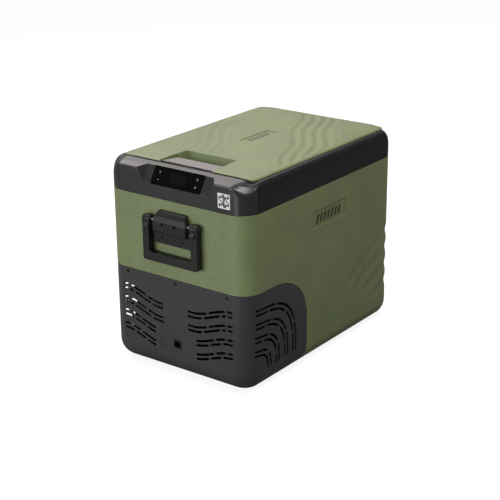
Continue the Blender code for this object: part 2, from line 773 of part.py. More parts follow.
def make_control_board():
    """The board hangs under the bay's roof with a heat sink, capacitors and a converter on it."""
    board = add("control_board", block((-0.150, -0.255, 0.2080), (-0.030, -0.180, 0.2096)), "board_green")
    middle = 0.2088
    heat_sink = ((-0.145, -0.250, 0.192), (-0.115, -0.205, middle))
    capacitors = ((-0.105, -0.245, 0.198), (-0.080, -0.225, middle))
    converter = ((-0.070, -0.215, 0.200), (-0.045, -0.190, middle))
    combine(board, block(*heat_sink, *capacitors, *converter), "UNION")


def make_socket():
    low_x, high_x, low_z, high_z = SOCKET_PLATE
    plate = block((low_x + GAP, -0.2762, low_z + GAP), (high_x - GAP, -0.2742, high_z - GAP))
    plate = add("socket_plate", plate, "dark_plastic")
    combine(plate, through_front(SOCKET))
    low_x, high_x, low_z, high_z = SOCKET
    body = block((low_x + GAP, -0.2768, low_z + GAP), (high_x - GAP, -0.2480, high_z - GAP))
    socket = add("power_socket", body, "black_enamel")
    wall, floor = 0.003 + GAP, -0.2600
    combine(socket, block((low_x + wall, -0.29, low_z + wall), (high_x - wall, floor, high_z - wall)))
    z = (low_z + high_z) / 2
    pins = []
    for side in (-1, 1):
        x = (low_x + high_x) / 2 + side * 0.005
        pins.append(rod((x, -0.2700, z), (x, floor + 0.001, z), 0.0012, 8))
    combine(socket, merged(*pins), "UNION")


# ---- Lid ----


def hinge_pockets(low_y, high_y, knuckle_y):
    """Recesses for both hinges in the collar or the lid: one for the leaf, a wider one for the knuckles."""
    knuckle_low, knuckle_high = min(low_y, knuckle_y), max(high_y, knuckle_y)
    corners = []
    for side in (-1, 1):
        half = HINGE_WIDTH / 2 + 0.0005
        low_x, high_x = side * HINGE_X - half, side * HINGE_X + half
        corners.append(block((low_x, low_y, LEAF_FOOT - 0.0006), (high_x, high_y, 0.446)))
        corners.append(block((low_x, knuckle_low, 0.4449), (high_x, knuckle_high, 0.470)))
    return merged(*corners)


def make_leaf(name, span, depth, knuckles):
    """A hinge leaf with its share of the knuckles, bored for the pin."""
    start, end = span
    low, high = depth
    leaf = add(name, block((start, low, LEAF_FOOT), (end, high, LEAF_TOP)), "steel")
    tabs = [block((a, low, 0.440), (b, high, HINGE_Z)) for a, b in knuckles]
    combine(leaf, merged(*tabs), "UNION")
    barrels = [rod((a, HINGE_Y, HINGE_Z), (b, HINGE_Y, HINGE_Z), KNUCKLE_RADIUS, 16) for a, b in knuckles]
    combine(leaf, merged(*barrels), "UNION")
    bore = rod((start - 0.001, HINGE_Y, HINGE_Z), (end + 0.001, HINGE_Y, HINGE_Z), PIN_BORE, 12)
    combine(leaf, bore)
    return leaf


def make_hinges():
    """Two butt hinges: leaves face each other across the seam, knuckles alternate along one pin."""
    lid_leaves = []
    for name, side in (("left", -1), ("right", 1)):
        start = side * HINGE_X - HINGE_WIDTH / 2
        end = start + HINGE_WIDTH
        first, second = start + KNUCKLE_SPLIT[0], start + KNUCKLE_SPLIT[1]
        make_leaf(f"hinge_body_leaf_{name}", (start, end), BODY_LEAF, ((start, first), (second, end)))
        middle = ((first + GAP, second - GAP),)
        lid_leaves.append(make_leaf(f"hinge_lid_leaf_{name}", (start, end), LID_LEAF, middle))
        pin = rod((start + 0.0005, HINGE_Y, HINGE_Z), (end - 0.0005, HINGE_Y, HINGE_Z), PIN_RADIUS, 12)
        add(f"hinge_pin_{name}", pin, "steel")
    return lid_leaves


def lid_edges(inset_x, inset_front, inset_back):
    half = SEAM_HALF_WIDTH - SEAM_GAP - inset_x
    return half, SEAM_FRONT + SEAM_GAP + inset_front, SEAM_BACK - SEAM_GAP - inset_back


def lid_form():
    return loft(
        [
            ring(*lid_edges(0, 0, 0), LID_RADIUS, LID_BASE),
            ring(*lid_edges(0, 0, 0), LID_RADIUS, 0.4475, 0.4515, 0.4470),
            ring(*lid_edges(0.0025, 0.0015, 0.0030), 0.0170, 0.4497, 0.4532, 0.4520),
            ring(*lid_edges(0.016, 0.006, 0.009), 0.0150, 0.4523, 0.4538, 0.4538),
            ring(*lid_edges(0.040, 0.012, 0.018), 0.0120, LID_TOP),
        ]
    )


def lid_cavity(margin, low):
    """Hollow of the lid cover; with a margin it is the foam that fills it."""
    wall = 0.004 + margin
    return [
        ring(*lid_edges(wall, wall, wall + 0.0026), 0.012, low),
        ring(*lid_edges(wall, wall, wall + 0.0026), 0.012, 0.4440 - margin),
        ring(*lid_edges(wall + 0.034, wall + 0.008, wall + 0.016), 0.010, 0.4506 - margin),
    ]


def notch_block(margin):
    half = NOTCH_HALF_WIDTH + WALL + margin
    return block((-half, -0.245, NOTCH_FLOOR - WALL - margin), (half, NOTCH_BACK + 0.004 + margin, 0.47))


def finger_scoop(paddle_end):
    """Sloping dip behind the latch paddle."""
    points = []
    for inset, lead, z in ((0, 0, 0.462), (0.006, 0.012, NOTCH_FLOOR + 0.001)):
        for x in (inset - NOTCH_HALF_WIDTH, NOTCH_HALF_WIDTH - inset):
            points += [(x, paddle_end - 0.004, z), (x, NOTCH_BACK - lead, z)]
    return hull(points)


def make_lid_cover():
    cover = add("lid_cover", lid_form(), "green_plastic")
    hollow = combine(cover, loft(lid_cavity(0, 0.420)))
    combine(hollow, notch_block(0))
    half, paddle_end = NOTCH_HALF_WIDTH, PADDLE_BACK + 0.002
    combine(cover, block((-half, -0.250, NOTCH_FLOOR), (half, paddle_end, 0.47)))
    combine(cover, finger_scoop(paddle_end))
    combine(cover, block((-0.028, -0.250, 0.420), (0.028, -0.2325, 0.47)))
    combine(cover, hinge_pockets(0.2499, HINGE_Y + 0.001, 0.2492), crossing=True)
    combine(cover, rod((-0.0725, LATCH_Y, LATCH_Z), (0.0725, LATCH_Y, LATCH_Z), PIN_BORE, 12))
    pin = rod((-0.0705, LATCH_Y, LATCH_Z), (0.0705, LATCH_Y, LATCH_Z), PIN_RADIUS, 12)
    return [cover, add("latch_pin", pin, "steel")]


def make_lid_liner():
    plug, inside = (0.1405, -0.209, 0.2250), (0.1385, -0.207, 0.2230)
    flange = (0.164, -0.2305, 0.2440)
    rings = [
        ring(*inside, 0.018, 0.406),
        ring(*inside, 0.018, LID_LINER_TOP),
        ring(*flange, 0.014, LID_LINER_TOP),
        ring(*flange, 0.014, LID_LINER_BASE),
        ring(*plug, 0.020, LID_LINER_BASE),
        ring(*plug, 0.020, 0.4080),
        ring(0.1365, -0.205, 0.2210, 0.016, 0.4040),
    ]
    return add("lid_liner", loft(rings), "liner_plastic")


def make_lid_foam():
    plug, joint = (0.1381, -0.2066, 0.2226), 0.4305
    rings = [ring(*plug, 0.0176, 0.4064), ring(*plug, 0.0176, joint)]
    foam = add("lid_foam", loft(rings + lid_cavity(GAP, joint)), "foam")
    combine(foam, block((-0.0715, -0.260, 0.4290), (0.0715, NOTCH_BACK + 0.0045, 0.47)))
    return foam


def make_lid_gasket():
    def seal_ring(inset, z):
        return ring(0.160 - inset, -0.2275 + inset, 0.2420 - inset, 0.020 - inset / 2, z)

    low, high, width = LEDGE_Z + GAP, LID_LINER_BASE - GAP, 0.008
    rings = [seal_ring(0, low), seal_ring(0, high), seal_ring(width, high), seal_ring(width, low)]
    return add("lid_gasket", loft(rings, closed=True), "rubber")


def make_latch():
    """Paddle over a pin, with a hook in front of it that reaches towards the keeper."""
    half = NOTCH_HALF_WIDTH - 0.0015
    paddle = block((-half, PADDLE_FRONT, PADDLE_BASE), (half, PADDLE_BACK, PADDLE_TOP))
    paddle = add("latch_paddle", paddle, "latch_plastic")
    barrel = rod((-half, LATCH_Y, LATCH_Z), (half, LATCH_Y, LATCH_Z), LATCH_BARREL_RADIUS, 16)
    combine(paddle, barrel, "UNION")
    front, back, tip, foot, top = -0.2308, -0.2284, -0.2340, 0.4385, 0.4485
    hook = [(front, top), (front, 0.4415), (tip, 0.4405), (tip, foot), (back, foot), (back, top)]
    combine(paddle, prism([hook], "X", -0.020, 0.020), "UNION")
    combine(paddle, rod((-0.08, LATCH_Y, LATCH_Z), (0.08, LATCH_Y, LATCH_Z), PIN_BORE, 12))
    front, back, tip, foot, lip, top = -0.2385, -0.2368, -0.2346, 0.4355, 0.4432, 0.4450
    keeper = [(front, foot), (back, foot), (back, lip), (tip, lip), (tip, top), (front, top)]
    add("latch_keeper", prism([keeper], "X", -0.025, 0.025), "steel")
    return paddle


# ---- Carry handles ----


def facing(end, bm):
    """Turns a solid made for the front end (-1) to the back end (+1)."""
    if end > 0:
        bm.transform(Matrix.Rotation(math.pi, 4, "Z"))
    return bm


def across(half, pivot, radius, segments):
    """A rod along a handle's pivot axis."""
    return rod((-half, *pivot), (half, *pivot), radius, segments)


def make_bracket(name, end, pivot):
    wall, foot = -HALF_LENGTH - GAP, 0.3200
    roll = [
        (wall, foot), (-0.2905, foot), (-0.2945, 0.3240), (-0.2945, 0.3450),
        (-0.2905, 0.3560), (-0.2840, 0.3640), (wall, 0.3660),
    ]
    bracket = prism([roll], "X", -BRACKET_HALF_WIDTH, BRACKET_HALF_WIDTH)
    bracket = add(f"{name}_handle_bracket", facing(end, bracket), "dark_plastic")
    flange = block((-FLANGE_HALF_WIDTH, -0.2845, 0.295), (FLANGE_HALF_WIDTH, wall, foot + 0.0015))
    combine(bracket, facing(end, flange), "UNION")
    combine(bracket, facing(end, across(0.08, pivot, HANDLE_BORE, 16)))


def bail_outline():
    outer, inner = BAIL_HALF_WIDTH, BAIL_HALF_WIDTH - BAIL_ARM
    top, bottom, bar, chamfer = HANDLE_PIVOT_Z, BAIL_BOTTOM, BAIL_BOTTOM + BAIL_BAR, 0.006
    half = [(outer - chamfer, bottom), (outer, bottom + chamfer), (outer, top)]
    half += [(inner, top), (inner, bar + chamfer), (inner - chamfer, bar)]
    return half + [(-x, z) for x, z in reversed(half)]


def make_bail(name, end, pivot):
    front, back = pivot[0] - BAIL_DEPTH / 2, pivot[0] + BAIL_DEPTH / 2
    bail = add(f"{name}_bail", facing(end, prism([bail_outline()], "Y", front, back)), "dark_plastic")
    knuckles, lugs = [], []
    for side in (-1, 1):
        low, high = sorted((side * KNUCKLE_START, side * BAIL_HALF_WIDTH))
        knuckles.append(rod((low, *pivot), (high, *pivot), BAIL_DEPTH / 2, 24))
        lugs.append(prism([LUG_PROFILE], "X", *sorted(side * x for x in LUG_X)))
    combine(bail, facing(end, merged(*knuckles)), "UNION")
    combine(bail, facing(end, merged(*lugs)), "UNION")
    combine(bail, facing(end, across(0.08, pivot, HANDLE_BORE, 16)))
    hang([bail], (0, end * HANDLE_PIVOT_Y, HANDLE_PIVOT_Z), f"{name}_bail_axis")


def make_handle(name, end):
    pivot = (-HANDLE_PIVOT_Y, HANDLE_PIVOT_Z)
    make_bracket(name, end, pivot)
    pin = across(BAIL_HALF_WIDTH - 0.0025, pivot, HANDLE_PIN_RADIUS, 16)
    add(f"{name}_handle_pin", facing(end, pin), "steel")
    make_bail(name, end, pivot)


def shade_round_pieces():
    for item in bpy.data.objects:
        if item.type == "MESH" and not item.hide_render:
            item.data.shade_smooth()
            item.data.set_sharp_from_angle(angle=math.radians(35))


def main():
    clear_scene()
    make_materials()
    make_shell()
    make_base_cover()
    make_cover_screws()
    make_feet()
    make_collar()
    make_fascia()
    make_display()
    make_keys()
    make_liner()
    make_evaporator()
    make_foam()
    make_bay_liner()
    make_light()
    make_basket()
    make_compressor()
    make_condenser()
    make_fan()
    make_refrigerant_circuit()
    make_control_board()
    make_socket()
    lid_pieces = [*make_lid_cover(), make_lid_liner(), make_lid_foam(), make_lid_gasket(), *make_hinges()]
    hang(lid_pieces, (0, HINGE_Y, HINGE_Z), "lid_axis")
    hang([make_latch()], (0, LATCH_Y, LATCH_Z), "latch_axis")
    make_handle("front", -1)
    make_handle("rear", 1)
    shade_round_pieces()


main()
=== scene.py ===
"""Looks of a compressor cooler fridge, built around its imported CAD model.

Metres, +Z up, in the model's own frame: the display end faces -Y and the lid hinges at the +Y end.
Shells are rebuilt with finer corners, softened edges and shallow relief; small parts get their detail here.
"""

import itertools
from math import atan2, cos, degrees, pi, radians, sin

import bmesh
import bpy
from mathutils import Matrix, Vector


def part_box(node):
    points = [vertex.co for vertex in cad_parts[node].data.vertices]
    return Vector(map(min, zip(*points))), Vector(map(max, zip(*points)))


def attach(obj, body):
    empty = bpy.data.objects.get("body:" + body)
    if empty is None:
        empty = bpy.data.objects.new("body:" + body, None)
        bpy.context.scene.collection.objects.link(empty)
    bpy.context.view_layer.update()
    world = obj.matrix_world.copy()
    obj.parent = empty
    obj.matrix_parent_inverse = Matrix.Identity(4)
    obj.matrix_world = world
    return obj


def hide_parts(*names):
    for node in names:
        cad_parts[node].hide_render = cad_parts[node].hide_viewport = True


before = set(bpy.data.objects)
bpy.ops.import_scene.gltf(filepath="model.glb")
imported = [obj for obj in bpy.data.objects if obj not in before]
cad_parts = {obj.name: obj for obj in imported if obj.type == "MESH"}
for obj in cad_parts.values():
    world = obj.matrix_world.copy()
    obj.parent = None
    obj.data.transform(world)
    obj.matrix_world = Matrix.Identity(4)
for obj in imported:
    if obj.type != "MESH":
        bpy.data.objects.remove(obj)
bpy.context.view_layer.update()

# ---- Sizes read from the frame ----

SHELL_LOW, SHELL_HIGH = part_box("outer_shell")
HALF_WIDTH, HALF_LENGTH = SHELL_HIGH.x, SHELL_HIGH.y
FOOT_HEIGHT, SHELL_TOP = SHELL_LOW.z, SHELL_HIGH.z
COLLAR_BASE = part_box("top_collar")[0].z
BAY_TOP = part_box("base_cover")[1].z
LID_LOW, LID_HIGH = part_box("lid_cover")
LID_HALF, LID_FRONT, LID_BACK = LID_HIGH.x, LID_LOW.y, LID_HIGH.y
LID_BASE, LID_TOP = LID_LOW.z, LID_HIGH.z

# ---- Sizes of the casing that its nodes' boxes don't give ----

GAP = 0.0004  # clearance round a part that sits in another
WALL = 0.003  # thickness of the moulded shells
CORNER_RADIUS = 0.045
CORNER_STEPS = 14
BOTTOM_FILLET = 0.038
COVER_FLAT_Y, COVER_REACH, COVER_DROP, COVER_POWER = -0.202, 0.13, 0.115, 2.4
SEAM = (0.1712, -0.2388, 0.2538, 0.02)  # half width, front, back, corner radius of the lid opening
LEDGE_Z = 0.424
FASCIA_BACK = -0.241
WELL = (0.143, -0.213, 0.228)  # half width, front and back of the food space
HINGE_LINE = (0.2532, 0.449)  # y and z of the line that the lid turns about
HINGE_X, HINGE_WIDTH = 0.11, 0.05
LATCH_LINE = (-0.2265, 0.4455)  # and the paddle
NOTCH_HALF, NOTCH_FLOOR, NOTCH_BACK, PADDLE_BACK = 0.068, 0.434, -0.147, -0.185
BAIL_LINE = (-0.2861, 0.344)  # and the front bail
DISPLAY_FOOT = Vector((0.004, -HALF_LENGTH, 0.415))  # middle of the display's lower edge
DISPLAY_UP = Vector((0.0, 0.0206, 0.034)).normalized()
DISPLAY_OUT = Vector((0.0, -DISPLAY_UP.z, DISPLAY_UP.y))
BADGE = (-0.056, 0.074, 0.301, 0.337)  # y low, y high, z low, z high of a side badge's recess
LID_BADGE = (-0.022, -0.029, 0.008, 0.073)  # x low, y low, x high, y high
SIDE_WAVE_DEPTH, SIDE_WAVE_PITCH = 0.0025, 0.0335
SIDE_WAVE_START = (0.044, 0.122)  # y and z where the first wave begins
LID_WAVE_DEPTH, LID_WAVE_PITCH = 0.0021, 0.0235
LID_CORNER = 0.0188
FEET = [(side * 0.12, end * 0.205) for side in (-1, 1) for end in (-1, 1)]
SCREWS = {"left": -0.131, "middle": -0.002, "right": 0.131}
SCREW_Z = 0.21
SOCKET_PLATE = (-0.046, 0.012, 0.056, 0.086)  # x low, x high, z low, z high
SOCKET = (-0.013, 0.01, 0.063, 0.084)


# ---- Mesh helpers ----


def smoothstep(low, high, value):
    share = min(max((value - low) / (high - low), 0.0), 1.0)
    return share * share * (3 - 2 * share)


def linked(name, data):
    item = bpy.data.objects.new(name, data)
    bpy.context.scene.collection.objects.link(item)
    return item


def new_object(name, bm):
    bmesh.ops.recalc_face_normals(bm, faces=bm.faces)
    mesh = bpy.data.meshes.new(name)
    bm.to_mesh(mesh)
    bm.free()
    return linked(name, mesh)


def baked(item):
    """A new mesh: an item's shape with its modifiers applied."""
    graph = bpy.context.evaluated_depsgraph_get()
    return bpy.data.meshes.new_from_object(item.evaluated_get(graph))


def settle(item):
    mesh = baked(item)
    item.modifiers.clear()
    item.data = mesh


def carve(item, bm, operation="DIFFERENCE", crossing=False):
    """Cuts, joins or intersects an item with a helper, whose own solids may cross each other."""
    tool = new_object("tool", bm)
    modifier = item.modifiers.new("Carve", "BOOLEAN")
    modifier.operation = operation
    modifier.use_self = crossing
    modifier.object = tool
    settle(item)
    bpy.data.objects.remove(tool)


def clean(item, distance=0.0002, flat=0.3):
    """Merges the slivers that cuts leave behind and joins the faces of each flat stretch."""
    bm = bmesh.new()
    bm.from_mesh(item.data)
    bmesh.ops.dissolve_degenerate(bm, dist=distance, edges=bm.edges)
    bmesh.ops.dissolve_limit(bm, angle_limit=radians(flat), verts=bm.verts, edges=bm.edges)
    bm.to_mesh(item.data)
    bm.free()


def soften(item, width=0.0006, segments=2, angle=32, tidy=True):
    """Rounds an item's edges, then shades it smooth with its flat faces kept flat."""
    if tidy:
        clean(item)
    if width:
        edges = item.modifiers.new("Edges", "BEVEL")
        edges.width = width
        edges.segments = segments
        edges.limit_method = "ANGLE"
        edges.angle_limit = radians(angle)
        edges.use_clamp_overlap = False
        edges.miter_outer = "MITER_ARC"
    settle(item)
    item.data.shade_smooth()
    item.data.set_sharp_from_angle(angle=radians(50))
    weights = item.modifiers.new("Normals", "WEIGHTED_NORMAL")
    weights.keep_sharp = True
    settle(item)


def ring(half_x, front, back, radius, z, front_z=None, back_z=None, dip=0.0, steps=CORNER_STEPS):
    """Rounded rectangle. Its ends may lie higher or lower than its sides, and its corners may dip."""
    front_z = z if front_z is None else front_z
    back_z = z if back_z is None else back_z
    points = []
    for quarter, (side, end) in enumerate(((1, 1), (-1, 1), (-1, -1), (1, -1))):
        centre_x = side * (half_x - radius)
        centre_y = back - radius if end > 0 else front + radius
        end_z = back_z if end > 0 else front_z
        for step in range(steps + 1):
            angle = (quarter + step / steps) * pi / 2
            height = z + (end_z - z) * sin(angle) ** 2 - dip * sin(2 * angle) ** 2
            points.append((centre_x + radius * cos(angle), centre_y + radius * sin(angle), height))
    return points


def loft(rings, closed=False):
    """Skins a stack of rings. An open stack is capped, and a closed one joins its last ring to its first."""
    bm = bmesh.new()
    rows = [[bm.verts.new(point) for point in points] for points in rings]
    if closed:
        rows.append(rows[0])
    else:
        bm.faces.new(rows[0])
        bm.faces.new(rows[-1])
    for low, high in zip(rows, rows[1:]):
        for here in range(len(low)):
            after = (here + 1) % len(low)
            bm.faces.new((low[here], low[after], high[after], high[here]))
    bmesh.ops.recalc_face_normals(bm, faces=bm.faces)
    return bm


def block(low, high):
    """An axis-aligned box between its low and high corner."""
    bm = bmesh.new()
    for vertex in bmesh.ops.create_cube(bm, size=1.0)["verts"]:
        vertex.co = [a + (b - a) * (c + 0.5) for a, b, c in zip(low, high, vertex.co)]
    return bm


def bed(low_a, low_b, high_a, high_b, radius, axis, low, high, steps=4):
    """A flat slab across an axis whose outline is a rectangle with rounded corners."""
    return prism([rounded(rectangle(low_a, low_b, high_a, high_b), radius, steps)], axis, low, high)


def prism(outlines, axis, low, high):
    """Extrudes outlines along an axis. Their points give the other two coordinates, in X, Y, Z order."""
    at = "XYZ".index(axis)
    bm = bmesh.new()
    for outline in outlines:
        rows = []
        for level in (low, high):
            rows.append([bm.verts.new((*point[:at], level, *point[at:])) for point in outline])
            bm.faces.new(rows[-1])
        for here in range(len(outline)):
            after = (here + 1) % len(outline)
            bm.faces.new((rows[0][here], rows[0][after], rows[1][after], rows[1][here]))
    bmesh.ops.recalc_face_normals(bm, faces=bm.faces)
    return bm


def turned(start, direction, profile, segments=32):
    """A solid of revolution: profile is a list of (distance along, radius) with no zero radius."""
    turn = Vector((0, 0, 1)).rotation_difference(Vector(direction)).to_matrix()
    rings = []
    for along, radius in profile:
        angles = [2 * pi * step / segments for step in range(segments)]
        spots = [Vector((radius * cos(angle), radius * sin(angle), along)) for angle in angles]
        rings.append([Vector(start) + turn @ spot for spot in spots])
    return loft(rings)


def rod(start, end, radius, segments=32):
    span = Vector(end) - Vector(start)
    return turned(start, span, [(0, radius), (span.length, radius)], segments)


def rod_x(low, high, y, z, radius, segments=32):
    return rod((low, y, z), (high, y, z), radius, segments)


def merged(*meshes):
    whole = bmesh.new()
    for bm in meshes:
        mesh = bpy.data.meshes.new("piece")
        bm.to_mesh(mesh)
        bm.free()
        whole.from_mesh(mesh)
        bpy.data.meshes.remove(mesh)
    return whole


def taken(item):
    """An item's mesh as a helper mesh; the item itself is removed."""
    bm = bmesh.new()
    bm.from_mesh(item.data)
    bpy.data.objects.remove(item)
    return bm


def moved(bm, matrix):
    bm.transform(matrix)
    return bm


def hull(points):
    bm = bmesh.new()
    made = [bm.verts.new(point) for point in points]
    result = bmesh.ops.convex_hull(bm, input=made)
    bmesh.ops.delete(bm, geom=result["geom_interior"] + result["geom_unused"], context="VERTS")
    return bm


def curve(start, corner, end, steps):
    """Points of a bend from start to end that leaves and arrives along the lines to the corner."""
    shares = [step / steps for step in range(steps + 1)]
    return [start.lerp(corner, share).lerp(corner.lerp(end, share), share) for share in shares]


def rounded(points, radius, steps=4):
    """A closed outline of 2-D points with each corner turned into a bend."""
    points = [Vector(point) for point in points]
    outline = []
    for index, corner in enumerate(points):
        before, after = points[index - 1], points[(index + 1) % len(points)]
        reach = min(radius, (before - corner).length * 0.49, (after - corner).length * 0.49)
        start = corner + (before - corner).normalized() * reach
        end = corner + (after - corner).normalized() * reach
        outline += [tuple(point) for point in curve(start, corner, end, steps)]
    return outline


def rectangle(low_a, low_b, high_a, high_b):
    return [(low_a, low_b), (high_a, low_b), (high_a, high_b), (low_a, high_b)]


def tube(points, radius, bend=0.0, sides=2):
    """A round bar or pipe along a polyline with bent corners, as a helper mesh."""
    points = [Vector(point) for point in points]
    route = [points[0]]
    for before, corner, after in zip(points, points[1:], points[2:]):
        start = corner + (before - corner).normalized() * bend
        route += curve(start, corner, corner + (after - corner).normalized() * bend, 8)
    route.append(points[-1])
    data = bpy.data.curves.new("tube", "CURVE")
    data.dimensions = "3D"
    data.bevel_depth = radius
    data.bevel_resolution = sides
    data.use_fill_caps = True
    spline = data.splines.new("POLY")
    spline.points.add(len(route) - 1)
    for target, point in zip(spline.points, route):
        target.co = (*point, 1.0)
    item = linked("tube", data)
    made = bmesh.new()
    made.from_mesh(baked(item))
    bpy.data.objects.remove(item)
    return made


def finish(item, material, *nodes, body="cabinet", slot=None, edge=None, **soft):
    """Rounds a piece's edges, gives it its material and body, and hides the nodes it stands for; the finish
    slot it works out is not used.
    """
    if edge is not None:
        soften(item, edge, **soft)
    item.data.materials.clear()
    item.data.materials.append(MATERIALS[material])
    slot = slot or SLOTS.get(material, material)
    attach(item, body)
    if nodes:
        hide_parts(*nodes)


# ---- Materials ----


def add_node(tree, kind, inputs=None, **settings):
    node = tree.nodes.new(kind)
    for name, value in settings.items():
        setattr(node, name, value)
    for name, value in (inputs or {}).items():
        if hasattr(value, "is_output"):
            tree.links.new(value, node.inputs[name])
        else:
            node.inputs[name].default_value = value
    return node


def tint(colour, factor):
    return (*[min(channel * factor, 1.0) for channel in colour], 1.0)


def mix(tree, share, first, second):
    return add_node(tree, "ShaderNodeMix", {0: share, 6: first, 7: second}, data_type="RGBA").outputs[2]


def remap(tree, value, low, high, to_low=0.0, to_high=1.0):
    limits = {0: value, 1: low, 2: high, 3: to_low, 4: to_high}
    return add_node(tree, "ShaderNodeMapRange", limits).outputs[0]


def new_material(name):
    material = bpy.data.materials.new(name)
    material.use_nodes = True
    return material, material.node_tree, material.node_tree.nodes["Principled BSDF"]


def noise(tree, place, scale, detail):
    inputs = {"Vector": place, "Scale": scale, "Detail": detail}
    return add_node(tree, "ShaderNodeTexNoise", inputs).outputs["Fac"]


def sink(tree, shader, height, strength, distance, **more):
    """Lets a height pattern move the shader's surface by a distance."""
    inputs = {"Height": height, "Strength": strength, "Distance": distance, **more}
    tree.links.new(add_node(tree, "ShaderNodeBump", inputs).outputs[0], shader.inputs["Normal"])


def surface(name, colour, roughness, metallic=0.0, vary=0.1, grain=1300.0, relief=0.00006, edge_wear_and_highlight=0.0,
            uneven=0.08, stretch=(1, 1, 1), specular=0.5, **direct):
    """A moulded, painted or metal surface: cloudy colour, fine grain, uneven gloss, and pointy edges painted
    lighter, partly as wear and partly as a painted highlight.
    """
    material, tree, shader = new_material(name)
    for socket, value in {"Metallic": metallic, "Specular IOR Level": specular, **direct}.items():
        shader.inputs[socket.replace("_", " ")].default_value = value
    place = add_node(tree, "ShaderNodeTexCoord").outputs["Object"]
    scaled = add_node(tree, "ShaderNodeMapping", {"Vector": place, "Scale": stretch}).outputs["Vector"]
    cloud = noise(tree, scaled, 11.0, 4.0)
    fine = noise(tree, scaled, grain, 2.0)
    mottle = add_node(tree, "ShaderNodeMath", {0: cloud, 1: fine}, operation="ADD").outputs[0]
    mixed = mix(tree, remap(tree, mottle, 0.7, 1.3), tint(colour, 1 - vary), tint(colour, 1 + vary))
    # Pointy edges are painted lighter: worn edges, plus a painted highlight along them.
    if edge_wear_and_highlight:
        edge = add_node(tree, "ShaderNodeNewGeometry").outputs["Pointiness"]
        mixed = mix(tree, remap(tree, edge, 0.52, 0.6, 0.0, edge_wear_and_highlight), mixed, tint(colour, 1.7))
    tree.links.new(mixed, shader.inputs["Base Color"])
    gloss = remap(tree, cloud, 0.3, 0.7, roughness * (1 - uneven), roughness * (1 + uneven))
    tree.links.new(gloss, shader.inputs["Roughness"])
    sink(tree, shader, fine, 0.6, relief)
    MATERIALS[name] = material


MATERIALS = {}
SLOTS = {  # finish slots that aren't named after their material
    "badge_engraving_shade": "green_shell", "collar_shell_painted_shade": "dark_shell", "fascia_shell_shade_and_highlight": "dark_shell",
    "paper": "dark_shell", "print": "dark_shell", "screw": "screw_black", "enamel": "black_enamel",
    "gloss_black": "display_gloss", "readout": "display_gloss", "icon": "display_gloss",
    "latch": "latch_plastic", "handle": "handle_plastic", "chip": "fan_plastic",
}
GREEN = (0.17, 0.207, 0.091)
DARK = (0.038, 0.0363, 0.043)


def add_tracks(material, colour, depth):
    """Lays raised lines of a second colour over a surface, as the copper tracks of a circuit board."""
    tree = material.node_tree
    shader = tree.nodes["Principled BSDF"]
    place = tree.nodes["Texture Coordinate"].outputs["Object"]
    cells = add_node(tree, "ShaderNodeTexVoronoi", {"Vector": place, "Scale": 260.0, "Randomness": 0.55},
                     feature="DISTANCE_TO_EDGE", distance="EUCLIDEAN")
    lines = remap(tree, cells.outputs["Distance"], 0.05, 0.09, 1.0, 0.0)
    base = shader.inputs["Base Color"].links[0].from_socket
    tree.links.new(mix(tree, lines, base, (*colour, 1.0)), shader.inputs["Base Color"])
    sink(tree, shader, lines, 1.0, depth, Normal=shader.inputs["Normal"].links[0].from_socket)


